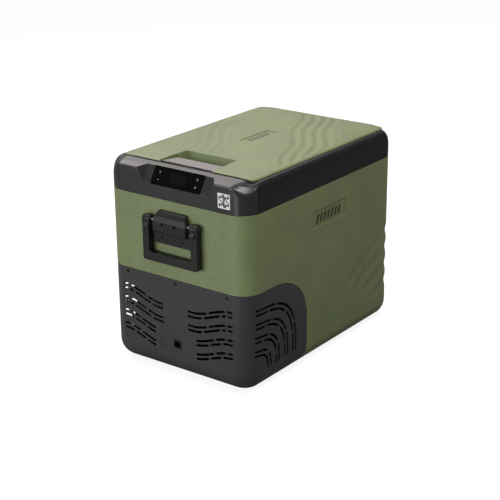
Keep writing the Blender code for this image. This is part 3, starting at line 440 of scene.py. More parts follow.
def make_materials():
    surface("green_shell", GREEN, 0.48, vary=0.14, grain=290.0, edge_wear_and_highlight=0.25, relief=0.001)
    surface("dark_shell", DARK, 0.42, edge_wear_and_highlight=0.2, relief=0.00009, specular=0.35)
    # The fascia is a darker copy of the dark shell. Its darker colour is painted shade, and its strong edge
    # lightening is a painted highlight on the display's facets.
    surface("fascia_shell_shade_and_highlight", (0.02, 0.0195, 0.0205), 0.33, vary=0.08, edge_wear_and_highlight=0.8, relief=0.00003, specular=0.45)
    # A near-black copy of the dark shell for the collar: its darker sides are painted shade.
    surface("collar_shell_painted_shade", (0.009, 0.009, 0.01), 0.44, edge_wear_and_highlight=0.2, specular=0.25)
    surface("handle", (0.013, 0.012, 0.012), 0.4, vary=0.12, edge_wear_and_highlight=0.45, specular=0.28)
    surface("latch", (0.225, 0.208, 0.204), 0.38, vary=0.05, edge_wear_and_highlight=0.3)
    surface("liner", (0.6, 0.615, 0.62), 0.36, vary=0.03, relief=0.00003)
    surface("foam", (0.79, 0.69, 0.42), 0.92, vary=0.12, grain=420.0, relief=0.0006)
    surface("gloss_black", (0.0015, 0.0015, 0.0018), 0.1, relief=0.000002, uneven=0.3, specular=0.12)
    surface("socket_black", (0.014, 0.014, 0.015), 0.38)
    surface("screw", (0.03, 0.03, 0.032), 0.34, 1.0, vary=0.15)
    surface("steel", (0.52, 0.53, 0.545), 0.3, 1.0, vary=0.08, stretch=(1, 12, 12), uneven=0.3)
    surface("aluminium", (0.72, 0.73, 0.745), 0.34, 1.0, vary=0.06, stretch=(14, 1, 1), uneven=0.3)
    # Copper kept very dark: painted shade of the dim bay seen through the vents.
    surface("copper", (0.11, 0.052, 0.032), 0.45, 1.0, vary=0.25, uneven=0.4)
    surface("enamel", (0.012, 0.012, 0.013), 0.26, grain=260.0, relief=0.0001, Coat_Weight=0.4)
    surface("rubber", (0.017, 0.017, 0.017), 0.78, vary=0.15, grain=900.0, relief=0.00012)
    surface("gasket", (0.012, 0.012, 0.012), 0.7, relief=0.00004, specular=0.2)
    surface("coated_wire", (0.64, 0.65, 0.66), 0.4, vary=0.05, relief=0.00003)
    surface("lamp", (0.86, 0.87, 0.84), 0.22, vary=0.03, Transmission_Weight=0.25)
    surface("icon", (0.22, 0.225, 0.23), 0.45, vary=0.06, specular=0.2)
    surface("readout", (0.0036, 0.0036, 0.0033), 0.16, vary=0.25, relief=0.000003, specular=0.15)
    surface("paper", (0.8, 0.8, 0.8), 0.48, vary=0.03, relief=0.00002)
    surface("print", (0.06, 0.06, 0.064), 0.5)
    # Dark olive of the badge bars: painted shade of lettering engraved in the green shell.
    surface("badge_engraving_shade", (0.03, 0.036, 0.017), 0.5, vary=0.12)
    surface("chip", (0.02, 0.02, 0.022), 0.4, vary=0.15)
    surface("board", (0.015, 0.12, 0.05), 0.34, relief=0.00001)
    add_tracks(MATERIALS["board"], (0.06, 0.26, 0.12), 0.00003)


# ---- Casing ----


def wall_line(inset, side_ys=(), back_xs=()):
    """Plan of the cabinet moved inwards: points and outward normals, with extra stations on the straights."""
    radius = CORNER_RADIUS - inset
    line = []
    for quarter, (side, end) in enumerate(((1, 1), (-1, 1), (-1, -1), (1, -1))):
        centre = Vector((side * (HALF_WIDTH - CORNER_RADIUS), end * (HALF_LENGTH - CORNER_RADIUS)))
        for step in range(CORNER_STEPS + 1):
            angle = (quarter + step / CORNER_STEPS) * pi / 2
            normal = Vector((cos(angle), sin(angle)))
            line.append((centre + normal * radius, normal))
        if quarter == 0:
            line += [(Vector((x, HALF_LENGTH - inset)), Vector((0, 1))) for x in reversed(back_xs)]
        if quarter == 1:
            line += [(Vector((inset - HALF_WIDTH, y)), Vector((-1, 0))) for y in reversed(side_ys)]
        if quarter == 3:
            line += [(Vector((HALF_WIDTH - inset, y)), Vector((1, 0))) for y in side_ys]
    return line


def side_relief(x, y, z):
    """Depth of the diagonal waves on the lower rear of the sides, carried round the back corners."""
    corner_y, corner_x = HALF_LENGTH - CORNER_RADIUS, HALF_WIDTH - CORNER_RADIUS
    run = y
    if y > corner_y:
        run = corner_y + CORNER_RADIUS * atan2(y - corner_y, max(abs(x) - corner_x, 0.0))
        run += max(corner_x - abs(x), 0.0)
    rise = run - SIDE_WAVE_START[0]
    crest = SIDE_WAVE_START[1] + 0.8 * rise - 1.3 * rise * rise
    phase = (crest - z) * 0.82 / SIDE_WAVE_PITCH
    if not 0.0 < phase < 4.0:
        return 0.0
    start = (0.5625 * rise + z - SIDE_WAVE_START[1]) / 1.147
    fade = smoothstep(0.0, 0.045, start) * (1 - smoothstep(0.292, 0.345, run))
    return SIDE_WAVE_DEPTH * fade * (0.5 - 0.5 * cos(2 * pi * phase))


def body_rings(inset, top, side_ys=(), back_xs=(), heights=(), relief=False):
    fillet = BOTTOM_FILLET - inset
    rows = []
    for step in range(9):
        angle = radians(90 * step / 8)
        up = inset + fillet * (1 - cos(angle))
        rows.append((inset + fillet * (1 - sin(angle)), FOOT_HEIGHT + up))
    rows += [(inset, z) for z in (*heights, top)]
    rings = []
    for offset, z in rows:
        points = []
        for spot, normal in wall_line(offset, side_ys, back_xs):
            depth = side_relief(spot.x, spot.y, z) if relief else 0.0
            points.append((*(spot - normal * depth), z))
        rings.append(points)
    return rings


def spread(low, high, step):
    count = round((high - low) / step)
    return [low + (high - low) * index / count for index in range(count + 1)]


def body_shell(relief=False):
    """The cabinet's outer skin and its inner face, as one hollow form open at the top."""
    side_ys = [0.02, *spread(0.045, 0.226, 0.0045)] if relief else ()
    back_xs = spread(-0.134, 0.134, 0.0048) if relief else ()
    heights = spread(0.046, 0.25, 0.0044) if relief else ()
    outer = body_rings(0, SHELL_TOP, side_ys, back_xs, heights, relief)
    return loft(outer + body_rings(WALL, SHELL_TOP, side_ys, back_xs)[::-1])


def cover_outline(margin):
    """Side view of the base cover, as (y, z): level along the front, then curving down to the bottom."""
    reach, drop, level = COVER_REACH + margin, COVER_DROP + margin, BAY_TOP + margin
    outline = [(-0.32, -0.02), (-0.32, level)]
    for step in range(25):
        angle = radians(90 * step / 24)
        up = max(cos(angle), 0.0) ** (2 / COVER_POWER)
        outline.append((COVER_FLAT_Y + reach * sin(angle) ** (2 / COVER_POWER), level - drop * (1 - up)))
    for back, z in ((0.0, 0.055), (-0.004, 0.034), (-0.01, 0.02), (-0.014, -0.02)):
        outline.append((COVER_FLAT_Y + reach + back, z))
    return outline


def foot_holes():
    return merged(*[rod((x, y, -0.01), (x, y, 0.02), 0.0044) for x, y in FEET])


def slant_bars(low, high, middle, height, lean, count=7):
    """Outlines of a row of equal slanted bars, the plain mark that both badges carry."""
    pitch = (high - low) / count
    bottom, top = middle - height / 2, middle + height / 2
    bars = []
    for index in range(count):
        start = low + pitch * (index + 0.25)
        end = start + pitch * 0.42
        corners = [(start - lean, bottom), (end - lean, bottom), (end + lean, top), (start + lean, top)]
        bars.append(rounded(corners, 0.0012, 3))
    return bars


def make_shell():
    shell = new_object("outer_shell_skin", body_shell(relief=True))
    carve(shell, prism([cover_outline(GAP)], "X", -0.3, 0.3))
    carve(shell, foot_holes())
    low_y, high_y, low_z, high_z = BADGE
    for side in (-1, 1):
        span = sorted((side * (HALF_WIDTH - 0.002), side * 0.2))
        carve(shell, bed(low_y, low_z, high_y, high_z, 0.005, "X", *span))
    finish(shell, "green_shell", "outer_shell", edge=0.0012)
    # The side badges' bars are dark: painted shade of their engraved lettering.
    bars = slant_bars(low_y + 0.018, high_y - 0.018, (low_z + high_z) / 2, 0.019, 0.003)
    for name, side in (("left", -1), ("right", 1)):
        span = sorted((side * (HALF_WIDTH - 0.0026), side * (HALF_WIDTH - 0.0009)))
        finish(new_object(f"side_badge_{name}", prism(bars, "X", *span)), "badge_engraving_shade", edge=0.0003)


# ---- Vents of the base cover ----

SLOT_WIDTH = 0.0052
VENT_PITCH, VENT_STEP, VENT_TOP = 0.0305, 0.0101, 0.1804
VENT_OUTER, VENT_DROP, VENT_EASE = 0.1475, 0.0237, (0.043, 0.139)
VENT_INNER = {-1: (0.034, 0.0565), 1: (0.0262, 0.047)}  # where the upper and lower rows of each side start
ARC_CENTRE, ARC_REACH, ARC_RISE, ARC_POWER = (-0.2535, 0.044), 0.1405, 0.139, 3.4
ARC_PITCH, ARC_STEP = 0.0296, 0.01
UPPER_BREAKS = (0.081, 0.1285), (0.068, 0.115, 0.13)
LOWER_BREAKS = (0.099, 0.1285), (0.085, 0.117)
SIDE_BREAKS = ((29, 62), (22, 46, 71), (31, 62), (22, 45, 70), (32, 58), (21, 69), (43,), ())


def slot_outline(path):
    """A slot with round ends along a path of 2-D points."""
    path = [Vector(point) for point in path]
    left, right = [], []
    for index, here in enumerate(path):
        run = (path[min(index + 1, len(path) - 1)] - path[max(index - 1, 0)]).normalized()
        across = Vector((-run.y, run.x)) * SLOT_WIDTH / 2
        left.append(here + across)
        right.append(here - across)
    outline = []
    for side, tip, run in ((left, path[-1], path[-1] - path[-2]), (right[::-1], path[0], path[0] - path[1])):
        outline += side
        across = side[-1] - tip
        forward = run.normalized() * SLOT_WIDTH / 2
        for step in range(1, 4):
            angle = pi * step / 4
            outline.append(tip + across * cos(angle) + forward * sin(angle))
    return [tuple(point) for point in outline]


def front_slots():
    """Four pairs of slot rows in a left and a right block; each row is broken by short bridges."""
    outlines = []
    margin = (SLOT_WIDTH + 0.0044) / 2
    for side, pair, row in itertools.product((-1, 1), range(4), range(2)):
        inner = VENT_INNER[side][pair // 2]
        bridges = (UPPER_BREAKS, LOWER_BREAKS)[pair // 2][row]
        z = VENT_TOP - pair * VENT_PITCH - row * VENT_STEP
        for start, end in zip((inner, *bridges), (*bridges, VENT_OUTER)):
            path = []
            for x in spread(start + margin, end - margin, 0.004):
                path.append((side * x, z - VENT_DROP * (1 - smoothstep(*VENT_EASE, x))))
            outlines.append(slot_outline(path))
    return outlines


def side_slots():
    """The same eight rows, carried round the corner as nested quarter arcs."""
    outlines = []
    centre = Vector(ARC_CENTRE)
    for row, bridges in enumerate(SIDE_BREAKS):
        inset = ARC_PITCH * (row // 2) + ARC_STEP * (row % 2)
        reach, rise = ARC_REACH - inset, ARC_RISE - inset
        margin = degrees((SLOT_WIDTH + 0.0034) / (reach + rise))
        for start, end in zip((1, *bridges), (*bridges, 89)):
            path = []
            for turn in spread(start + margin, end - margin, 3.5):
                y, z = cos(radians(turn)), sin(radians(turn))
                radius = ((y / reach) ** ARC_POWER + (z / rise) ** ARC_POWER) ** (-1 / ARC_POWER)
                path.append(centre + Vector((y, z)) * radius)
            outlines.append(slot_outline(path))
    return outlines


def make_base_cover():
    cover = new_object("base_cover_skin", body_shell())
    carve(cover, prism([cover_outline(0)], "X", -0.3, 0.3), "INTERSECT")
    carve(cover, prism(front_slots(), "Y", -0.3, -0.262))
    carve(cover, prism(side_slots(), "X", -0.3, 0.3))
    low_x, high_x, low_z, high_z = SOCKET_PLATE
    carve(cover, bed(low_x, low_z, high_x, high_z, 0.002, "Y", -0.29, -0.26))
    profile = [(0, 0.0042), (0.0085, 0.0035), (0.0095, 0.0035)]
    carve(cover, merged(*[turned((x, -0.285, SCREW_Z), (0, 1, 0), profile, 24) for x in SCREWS.values()]))
    carve(cover, merged(*[rod((x, -0.279, SCREW_Z), (x, -0.262, SCREW_Z), 0.0019) for x in SCREWS.values()]))
    carve(cover, foot_holes())
    for side in (-1, 1):
        span = sorted((side * (HALF_WIDTH - 0.0016), side * (HALF_WIDTH + 0.01)))
        carve(cover, rod_x(*span, -0.098, 0.163, 0.0022))
    finish(cover, "dark_shell", "base_cover", edge=0.0004)


def screw_head(start, direction, radius, depth=0.0012):
    """A domed head with a cross recess, its face at the start point."""
    profile = [(0, radius * 0.55), (depth * 0.15, radius * 0.86), (depth * 0.5, radius), (depth, radius)]
    head = new_object("head", turned(start, direction, profile, 24))
    long, short, deep = radius * 0.62, radius * 0.13, depth * 0.7
    bars = [block((-x, -y, -0.001), (x, y, deep)) for x, y in ((long, short), (short, long))]
    turn = Vector((0, 0, 1)).rotation_difference(Vector(direction)).to_matrix().to_4x4()
    carve(head, moved(merged(*bars), Matrix.Translation(Vector(start)) @ turn), crossing=True)
    return taken(head)


def make_cover_screws():
    for name, x in SCREWS.items():
        start = Vector((x, -0.277, SCREW_Z))
        screw = new_object(f"case_screw_{name}", screw_head(start, (0, 1, 0), 0.003))
        carve(screw, rod(start + Vector((0, 0.0011, 0)), start + Vector((0, 0.0105, 0)), 0.0016), "UNION")
        finish(screw, "screw", f"cover_screw_{name}", edge=0.0001)


def make_feet():
    for number, (x, y) in enumerate(FEET, 1):
        profile = [(0, 0.0115), (0.0002, 0.0128), (0.0009, 0.0138), (0.002, 0.014)]
        profile += [(FOOT_HEIGHT - GAP, 0.014), (FOOT_HEIGHT - GAP + 1e-5, 0.004), (0.0068, 0.004)]
        foot = new_object(f"foot_pad_{number}", turned((x, y, 0), (0, 0, 1), profile, 48))
        for radius in (0.005, 0.0085):
            rings = []
            for wide, z in ((-0.0005, -0.001), (-0.0005, 0.0006), (0.0005, 0.0006), (0.0005, -0.001)):
                edge = radius + wide
                circle = ring(edge, y - edge, y + edge, edge, z, steps=8)
                rings.append([(px + x, py, pz) for px, py, pz in circle])
            carve(foot, loft(rings, closed=True))
        finish(foot, "rubber", f"rubber_foot_{number}", edge=0.0002)


# ---- Collar and fascia ----


def eased_rings(keys, reach):
    """Rings between key rings, with every bend in the stack eased over a short reach."""
    keys = [[Vector(point) for point in ring(*key[:-1], dip=key[-1])] for key in keys]
    rings = [keys[0]]
    for trio in zip(keys, keys[1:], keys[2:]):
        bends = []
        for a, b, c in zip(*trio):
            start = b + (a - b) * min(reach / max((a - b).length, 1e-6), 0.45)
            end = b + (c - b) * min(reach / max((c - b).length, 1e-6), 0.45)
            bends.append(curve(start, b, end, 3))
        rings += zip(*bends)
    return [*rings, keys[-1]]


def collar_form():
    """Ring with a side, front and back profile of its own, from the outside over the top to the inside."""
    outer = (HALF_WIDTH, -HALF_LENGTH, HALF_LENGTH, CORNER_RADIUS)
    keys = [
        (*outer, COLLAR_BASE, COLLAR_BASE, COLLAR_BASE, 0.0),
        (*outer, 0.4352, 0.4425, 0.43, 0.022),
        (0.1832, -0.2755, 0.274, 0.0435, 0.4421, 0.4442, 0.438, 0.014),
        (0.1781, -0.26, 0.265, 0.036, 0.44715, 0.448, 0.4445, 0.005),
        (*SEAM, 0.4478, 0.4507, 0.4465, 0.0035),
    ]
    lip = (WELL[0] + 0.003, WELL[1] - 0.003, WELL[2] + 0.003, 0.025)
    inner = (HALF_WIDTH - WALL, WALL - HALF_LENGTH, HALF_LENGTH - WALL, CORNER_RADIUS - WALL)
    flat = [ring(*SEAM, LEDGE_Z), ring(*lip, LEDGE_Z), ring(*lip, LEDGE_Z - WALL)]
    flat += [ring(*inner, LEDGE_Z - WALL), ring(*inner, COLLAR_BASE)]
    return loft(eased_rings(keys, 0.004) + flat, closed=True)


def hinge_pockets(low_y, high_y, knuckle_y):
    """Recesses for both hinges: one for the leaf, a wider one for the knuckles."""
    corners = []
    for side in (-1, 1):
        low_x = side * HINGE_X - HINGE_WIDTH / 2 - 0.0005
        high_x = side * HINGE_X + HINGE_WIDTH / 2 + 0.0005
        corners.append(block((low_x, low_y, 0.4312), (high_x, high_y, 0.446)))
        corners.append(block((low_x, min(low_y, knuckle_y), 0.4449), (high_x, max(high_y, knuckle_y), 0.47)))
    return merged(*corners)


def make_collar():
    collar = new_object("collar_skin", collar_form())
    carve(collar, block((-0.2, -0.3, 0.38), (0.2, FASCIA_BACK + GAP, 0.46)))
    carve(collar, hinge_pockets(HINGE_LINE[0] - 0.0002, 0.2565, 0.2572), crossing=True)
    finish(collar, "collar_shell_painted_shade", "top_collar", edge=0.0005)


def in_display(bm):
    """Moves a helper from the display's own frame, x, up its slant and out of its face, to its place."""
    for vertex in bm.verts:
        x, up, out = vertex.co
        vertex.co = DISPLAY_FOOT + Vector((x, 0, 0)) + DISPLAY_UP * up + DISPLAY_OUT * out
    return bm


def display_recess():
    """The slanted bed of the display with a triangular facet on each side of it."""
    low, outer, back = 0.0848, 0.101, -0.2563
    corners = [(low, back, 0.4495), (low, back, 0.48), (outer, -0.3, 0.48)]
    for y in (-HALF_LENGTH, -0.3):
        corners += [(low, y, 0.415), (outer, y, 0.4445)]
    return hull([(DISPLAY_FOOT.x + side * x, y, z) for side in (-1, 1) for x, y, z in corners])


LENS = (0.0647, 0.0008, 0.0385, 0.003)  # half width, low and high edge up the slant, thickness
KEY_X, KEY_ROWS, KEY_HALF = 0.048, (0.0115, 0.0275), (0.007, 0.00425)


def make_fascia():
    fascia = new_object("fascia_skin", collar_form())
    carve(fascia, block((-0.2, -0.3, 0.38), (0.2, FASCIA_BACK, 0.46)), "INTERSECT")
    # The display's recess breaks through the collar's wall, so a strip of plastic backs its top edge.
    carve(fascia, block((-0.083, -0.2745, 0.4186), (0.091, -0.266, 0.4215)), "UNION")
    carve(fascia, display_recess())
    half, low, high, thick = LENS
    slab = bed(-half - GAP, low - GAP, half + GAP, high + GAP, 0.0025, "Z", -thick - GAP, 0.01)
    carve(fascia, in_display(slab))
    carve(fascia, in_display(block((-0.061, 0.004, -0.0085), (0.061, 0.035, 0.0))))
    finish(fascia, "fascia_shell_shade_and_highlight", "control_fascia", edge=0.0007, segments=3, angle=20)
    face = -HALF_LENGTH
    label = bed(0.113, 0.397, 0.143, 0.428, 0.0012, "Y", face - 0.0002, face)
    finish(new_object("plain_label", label), "paper")
    squares = []
    for column, row in itertools.product(range(7), range(7)):
        if (3 * column + 5 * row + column * row) % 4 < 2:
            x, z = 0.1153 + 0.0037 * column, 0.3994 + 0.0038 * row
            squares.append(rectangle(x, z, x + 0.0035, z + 0.0036))
    finish(new_object("plain_label_print", prism(squares, "Y", face - 0.00028, face - 0.0001)), "print")


def make_display():
    half, low, high, thick = LENS
    lens = new_object("display_glass", in_display(bed(-half, low, half, high, 0.0022, "Z", -thick, 0)))
    spots = [(side * KEY_X, up) for side in (-1, 1) for up in KEY_ROWS]
    openings = [rounded(key_outline(x, up, GAP), 0.0018) for x, up in spots]
    carve(lens, in_display(prism(openings, "Z", -0.01, 0.01)))
    finish(lens, "gloss_black", "display_lens", edge=0.0003)
    glow = in_display(bed(-0.018, 0.009, 0.022, 0.031, 0.001, "Z", -0.0001, 0.00004))
    finish(new_object("readout_window", glow), "readout")
    for name, (x, up) in zip(("key_minus", "key_plus", "key_set", "key_power"), spots):
        cap = in_display(prism([rounded(key_outline(x, up), 0.0016)], "Z", -0.0042, 0))
        finish(new_object(f"{name}_cap", cap), "gloss_black", name, edge=0.0002, body=name)
        finish(new_object(f"{name}_mark", in_display(key_mark(name, x, up))), "icon", body=name)


def key_outline(x, up, margin=0.0):
    across, along = KEY_HALF
    return rectangle(x - across - margin, up - along - margin, x + across + margin, up + along + margin)


def flat_ring(x, y, outer, inner, start, end):
    """Outline of the part of a flat ring between two angles in degrees."""
    angles = [radians(start + (end - start) * step / 24) for step in range(25)]
    outline = [(angle, outer) for angle in angles] + [(angle, inner) for angle in reversed(angles)]
    return [(x + radius * cos(angle), y + radius * sin(angle)) for angle, radius in outline]


def key_mark(name, x, up):
    """Printed mark of a key, a hair proud of its face: plus, minus, a power ring or a cog."""
    size, line = 0.0024, 0.00045
    bar = rectangle(x - size, up - line, x + size, up + line)
    if name == "key_minus":
        shapes = [bar]
    elif name == "key_plus":
        shapes = [bar, rectangle(x - line, up + line, x + line, up + size)]
        shapes.append(rectangle(x - line, up - size, x + line, up - line))
    elif name == "key_power":
        shapes = [flat_ring(x, up, size, size - 2 * line, 125, 415)]
        shapes.append(rectangle(x - line, up, x + line, up + size))
    else:
        shapes = [flat_ring(x, up, size * 0.75, size * 0.35, 1, 359)]
        for tooth in range(8):
            angle = pi * tooth / 4
            out = Vector((cos(angle), sin(angle)))
            side = Vector((-out.y, out.x)) * line
            near, far = Vector((x, up)) + out * size * 0.78, Vector((x, up)) + out * size
            shapes.append([tuple(point) for point in (near - side, far - side, far + side, near + side)])
    return prism(shapes, "Z", -0.0001, 0.00006)


# ---- Lid ----


def lid_height(x, y):
    """Top of the lid: crowned towards its edges, with shallow S-shaped waves on two opposite corners."""
    side, front, back = LID_HALF - abs(x), y - LID_FRONT, LID_BACK - y
    fall = 0.0
    for distance, (wide, wide_reach), (tight, tight_reach) in (
        (side, (0.0034, 0.042), (0.002, 0.004)),
        (front, (0.001, 0.012), (0.0006, 0.003)),
        (back, (0.0018, 0.018), (0.0018, 0.004)),
    ):
        fall += wide * max(1 - max(distance, 0.0) / wide_reach, 0.0) ** 1.6
        fall += tight * max(1 - max(distance, 0.0) / tight_reach, 0.0) ** 2
    across, along = 0.84 * x + 0.54 * y, 0.54 * x - 0.84 * y
    across += 0.075 * along - 0.0055 * cos(2 * pi * (along - 0.035) / 0.21)
    if across > 0:
        phase = (across - 0.07) / LID_WAVE_PITCH
        fade = smoothstep(0.052, 0.072, across) * (1 - smoothstep(0.16, 0.182, across))
    else:
        phase = (-0.06 - across) / LID_WAVE_PITCH
        fade = smoothstep(0.042, 0.062, -across) * (1 - smoothstep(0.13, 0.152, -across))
    fade *= smoothstep(0.004, 0.02, min(side, front, back))
    fade *= smoothstep(0.003, 0.018, max(abs(x) - NOTCH_HALF, y - NOTCH_BACK))
    return LID_TOP - fall - LID_WAVE_DEPTH * fade * (0.5 - 0.5 * cos(2 * pi * phase))


EDGE_STATIONS = (0.0008, 0.0018, 0.003, 0.0045, 0.0065, 0.009, 0.012)  # distances from an edge of the lid
EDGE_REACH = 0.016


def lid_stations(low, high):
    """Grid lines between two edges of the lid: close together near the edges, and one beyond each."""
    near = [low - 0.002, *[low + step for step in EDGE_STATIONS]]
    far = [*[high - step for step in reversed(EDGE_STATIONS)], high + 0.002]
    return near + spread(low + EDGE_REACH, high - EDGE_REACH, 0.0045) + far


def lid_slab():
    """A slab whose upper face is the lid's top, wider than the lid all round."""
    xs, ys = lid_stations(-LID_HALF, LID_HALF), lid_stations(LID_FRONT, LID_BACK)
    bm = bmesh.new()
    grid = [[bm.verts.new((x, y, lid_height(x, y))) for y in ys] for x in xs]
    faces = []
    for here, after in zip(grid, grid[1:]):
        for index in range(len(ys) - 1):
            faces.append(bm.faces.new((here[index], after[index], after[index + 1], here[index + 1])))
    for item in bmesh.ops.extrude_face_region(bm, geom=faces)["geom"]:
        if isinstance(item, bmesh.types.BMVert):
            item.co.z = LID_BASE - 0.01
    bmesh.ops.recalc_face_normals(bm, faces=bm.faces)
    return bm


def lid_hollow():
    """Space inside the lid cover: it leaves a floor and walls round the latch notch."""
    low = [ring(LID_HALF - 0.004, LID_FRONT + 0.004, LID_BACK - 0.0066, 0.012, z) for z in (0.42, 0.444)]
    high = ring(LID_HALF - 0.038, LID_FRONT + 0.012, LID_BACK - 0.02, 0.01, 0.45)
    hollow = new_object("hollow", loft([*low, high]))
    half = NOTCH_HALF + WALL
    carve(hollow, block((-half, -0.245, NOTCH_FLOOR - WALL), (half, NOTCH_BACK + 0.004, 0.47)))
    return taken(hollow)


def make_lid_cover():
    cover = new_object("lid_skin", lid_slab())
    edge = (LID_HALF, LID_FRONT, LID_BACK, LID_CORNER)
    carve(cover, loft([ring(*edge, LID_BASE), ring(*edge, LID_TOP + 0.01)]), "INTERSECT")
    carve(cover, lid_hollow())
    half, paddle_end = NOTCH_HALF, PADDLE_BACK + 0.002
    carve(cover, block((-half, -0.25, NOTCH_FLOOR), (half, paddle_end, 0.47)))
    finger = []
    for x, back, z in ((half, NOTCH_BACK, 0.462), (half - 0.006, NOTCH_BACK - 0.012, NOTCH_FLOOR + 0.001)):
        finger += [(side * x, y, z) for side in (-1, 1) for y in (paddle_end - 0.004, back)]
    carve(cover, hull(finger))
    carve(cover, block((-0.028, -0.25, 0.42), (0.028, -0.2325, 0.47)))
    carve(cover, hinge_pockets(0.2499, HINGE_LINE[0] + 0.001, 0.2492), crossing=True)
    carve(cover, rod_x(-0.0725, 0.0725, *LATCH_LINE, 0.0018))
    low_x, low_y, high_x, high_y = LID_BADGE
    carve(cover, bed(low_x, low_y, high_x, high_y, 0.004, "Z", LID_TOP - 0.0016, 0.47))
    clean(cover, 0.0006, 0.05)
    finish(cover, "green_shell", "lid_cover", edge=0.0006, tidy=False, body="lid")
    # The lid badge's bars are dark: painted shade of its engraved lettering.
    bars = slant_bars(low_y + 0.014, high_y - 0.014, 0, 0.014, 0.0025)
    middle = (low_x + high_x) / 2
    bars = [[(middle - b, a) for a, b in outline] for outline in bars]
    mark = new_object("lid_badge", prism(bars, "Z", LID_TOP - 0.0024, LID_TOP - 0.001))
    finish(mark, "badge_engraving_shade", edge=0.0003, body="lid")


def make_lid_lining():
    """Inner tray of the lid with its pressed panels, the ribbed seal round it, and a dark seal round the foot
    of its edge that also paints the shadow line of the seam.
    """
    flange = (0.164, -0.2305, 0.244, 0.014)
    wall = (0.1405, -0.209, 0.225, 0.02)
    rings = [ring(0.1385, -0.207, 0.223, 0.018, z) for z in (0.406, 0.43)]
    rings += [ring(*flange, 0.43), ring(*flange, 0.428), ring(*wall, 0.428), ring(*wall, 0.409)]
    rings += [ring(0.1396, -0.2081, 0.2241, 0.019, 0.4062), ring(0.137, -0.2055, 0.2215, 0.0165, 0.4045)]
    rings.append(ring(0.134, -0.2025, 0.2185, 0.014, 0.404))
    tray = new_object("lid_tray", loft(rings))
    spans = ((-0.186, -0.07), (-0.052, 0.2))
    panels = [rounded(rectangle(-0.118, low, 0.118, high), 0.012, 6) for low, high in spans]
    carve(tray, prism(panels, "Z", 0.395, 0.405))
    finish(tray, "liner", "lid_liner", edge=0.0008, segments=3, body="lid")

    low, high = LEDGE_Z + GAP, 0.428 - GAP
    lip = ((0.0, 0.001), (0.0006, 0.0002), (0.0018, 0), (0.003, 0.0003), (0.0036, 0.001))
    profile = [(inset, low + up) for inset, up in lip]
    profile += [(0.008 - inset, z) for inset, z in reversed(profile)] + [(0.008, high), (0.0, high)]
    rings = [ring(0.16 - inset, -0.2275 + inset, 0.242 - inset, 0.02 - inset / 2, z) for inset, z in profile]
    finish(new_object("lid_seal", loft(rings, closed=True)), "gasket", "lid_gasket", edge=0, body="lid")

    # Dark band round the foot of the lid's wall: partly its seal, partly a painted shadow line at the seam.
    rings = []
    for inset, drop in ((-0.0006, 0.004), (-0.0006, 0.0), (0.0004, 0.0), (0.0004, 0.004)):
        edges = (LID_HALF - inset, LID_FRONT + inset, LID_BACK - inset, LID_CORNER - inset)
        rings.append(ring(*edges, 0.4484 - drop, 0.4516 - drop, 0.4466 - drop, dip=0.003))
    seal_shadow_trim = new_object("lid_edge_seal_and_shadow_line", loft(rings, closed=True))
    carve(seal_shadow_trim, block((-NOTCH_HALF, -0.25, 0.43), (NOTCH_HALF, -0.22, 0.47)))
    carve(seal_shadow_trim, hinge_pockets(0.24, 0.26, 0.2492), crossing=True)
    finish(seal_shadow_trim, "gasket", edge=0, body="lid")


def make_latch():
    half = NOTCH_HALF - 0.0015
    low, high, front, back = 0.4475, 0.4525, -0.231, PADDLE_BACK
    top = []
    for y in spread(back, front, 0.0045):
        top.append((y, high + 0.0009 * sin(pi * (y - front) / (back - front))))
    outline = rounded([(front, high - 0.001), (front + 0.0045, low), (back, low), *top], 0.0006, 3)
    paddle = new_object("latch_lever", prism([outline], "X", -half, half))
    carve(paddle, rod_x(-half, half, *LATCH_LINE, 0.0036), "UNION")
    hook = [(-0.2308, 0.4485), (-0.2308, 0.4415), (-0.234, 0.4405), (-0.234, 0.4385)]
    hook += [(-0.2284, 0.4385), (-0.2284, 0.4485)]
    carve(paddle, prism([hook], "X", -0.02, 0.02), "UNION")
    carve(paddle, rod_x(-0.08, 0.08, *LATCH_LINE, 0.0018))
    ribs = []
    for y in spread(-0.205, -0.19, 0.005):
        ribs.append(block((-half + 0.004, y, high - 0.0052), (half - 0.004, y + 0.0012, low - 0.0006)))
    carve(paddle, merged(*ribs))
    finish(paddle, "latch", "latch_paddle", edge=0.0004, body="latch")
    # A dark strip in front of the paddle: painted shadow of the gap under the paddle's front edge.
    shadow_strip = new_object("latch_painted_shadow_strip", block((-half, -0.2376, 0.4452), (half, -0.2322, 0.4466)))
    finish(shadow_strip, "gasket", edge=0.0003, body="lid")
    hook = [(-0.2385, 0.4355), (-0.2368, 0.4355), (-0.2368, 0.4432), (-0.2346, 0.4432)]
    hook += [(-0.2346, 0.445), (-0.2385, 0.445)]
    finish(new_object("latch_catch", prism([hook], "X", -0.025, 0.025)), "steel", "latch_keeper", edge=0.0003)
    pin = new_object("latch_axle", rod_x(-0.0705, 0.0705, *LATCH_LINE, 0.0014))
    finish(pin, "steel", "latch_pin", edge=0.0002, body="lid")


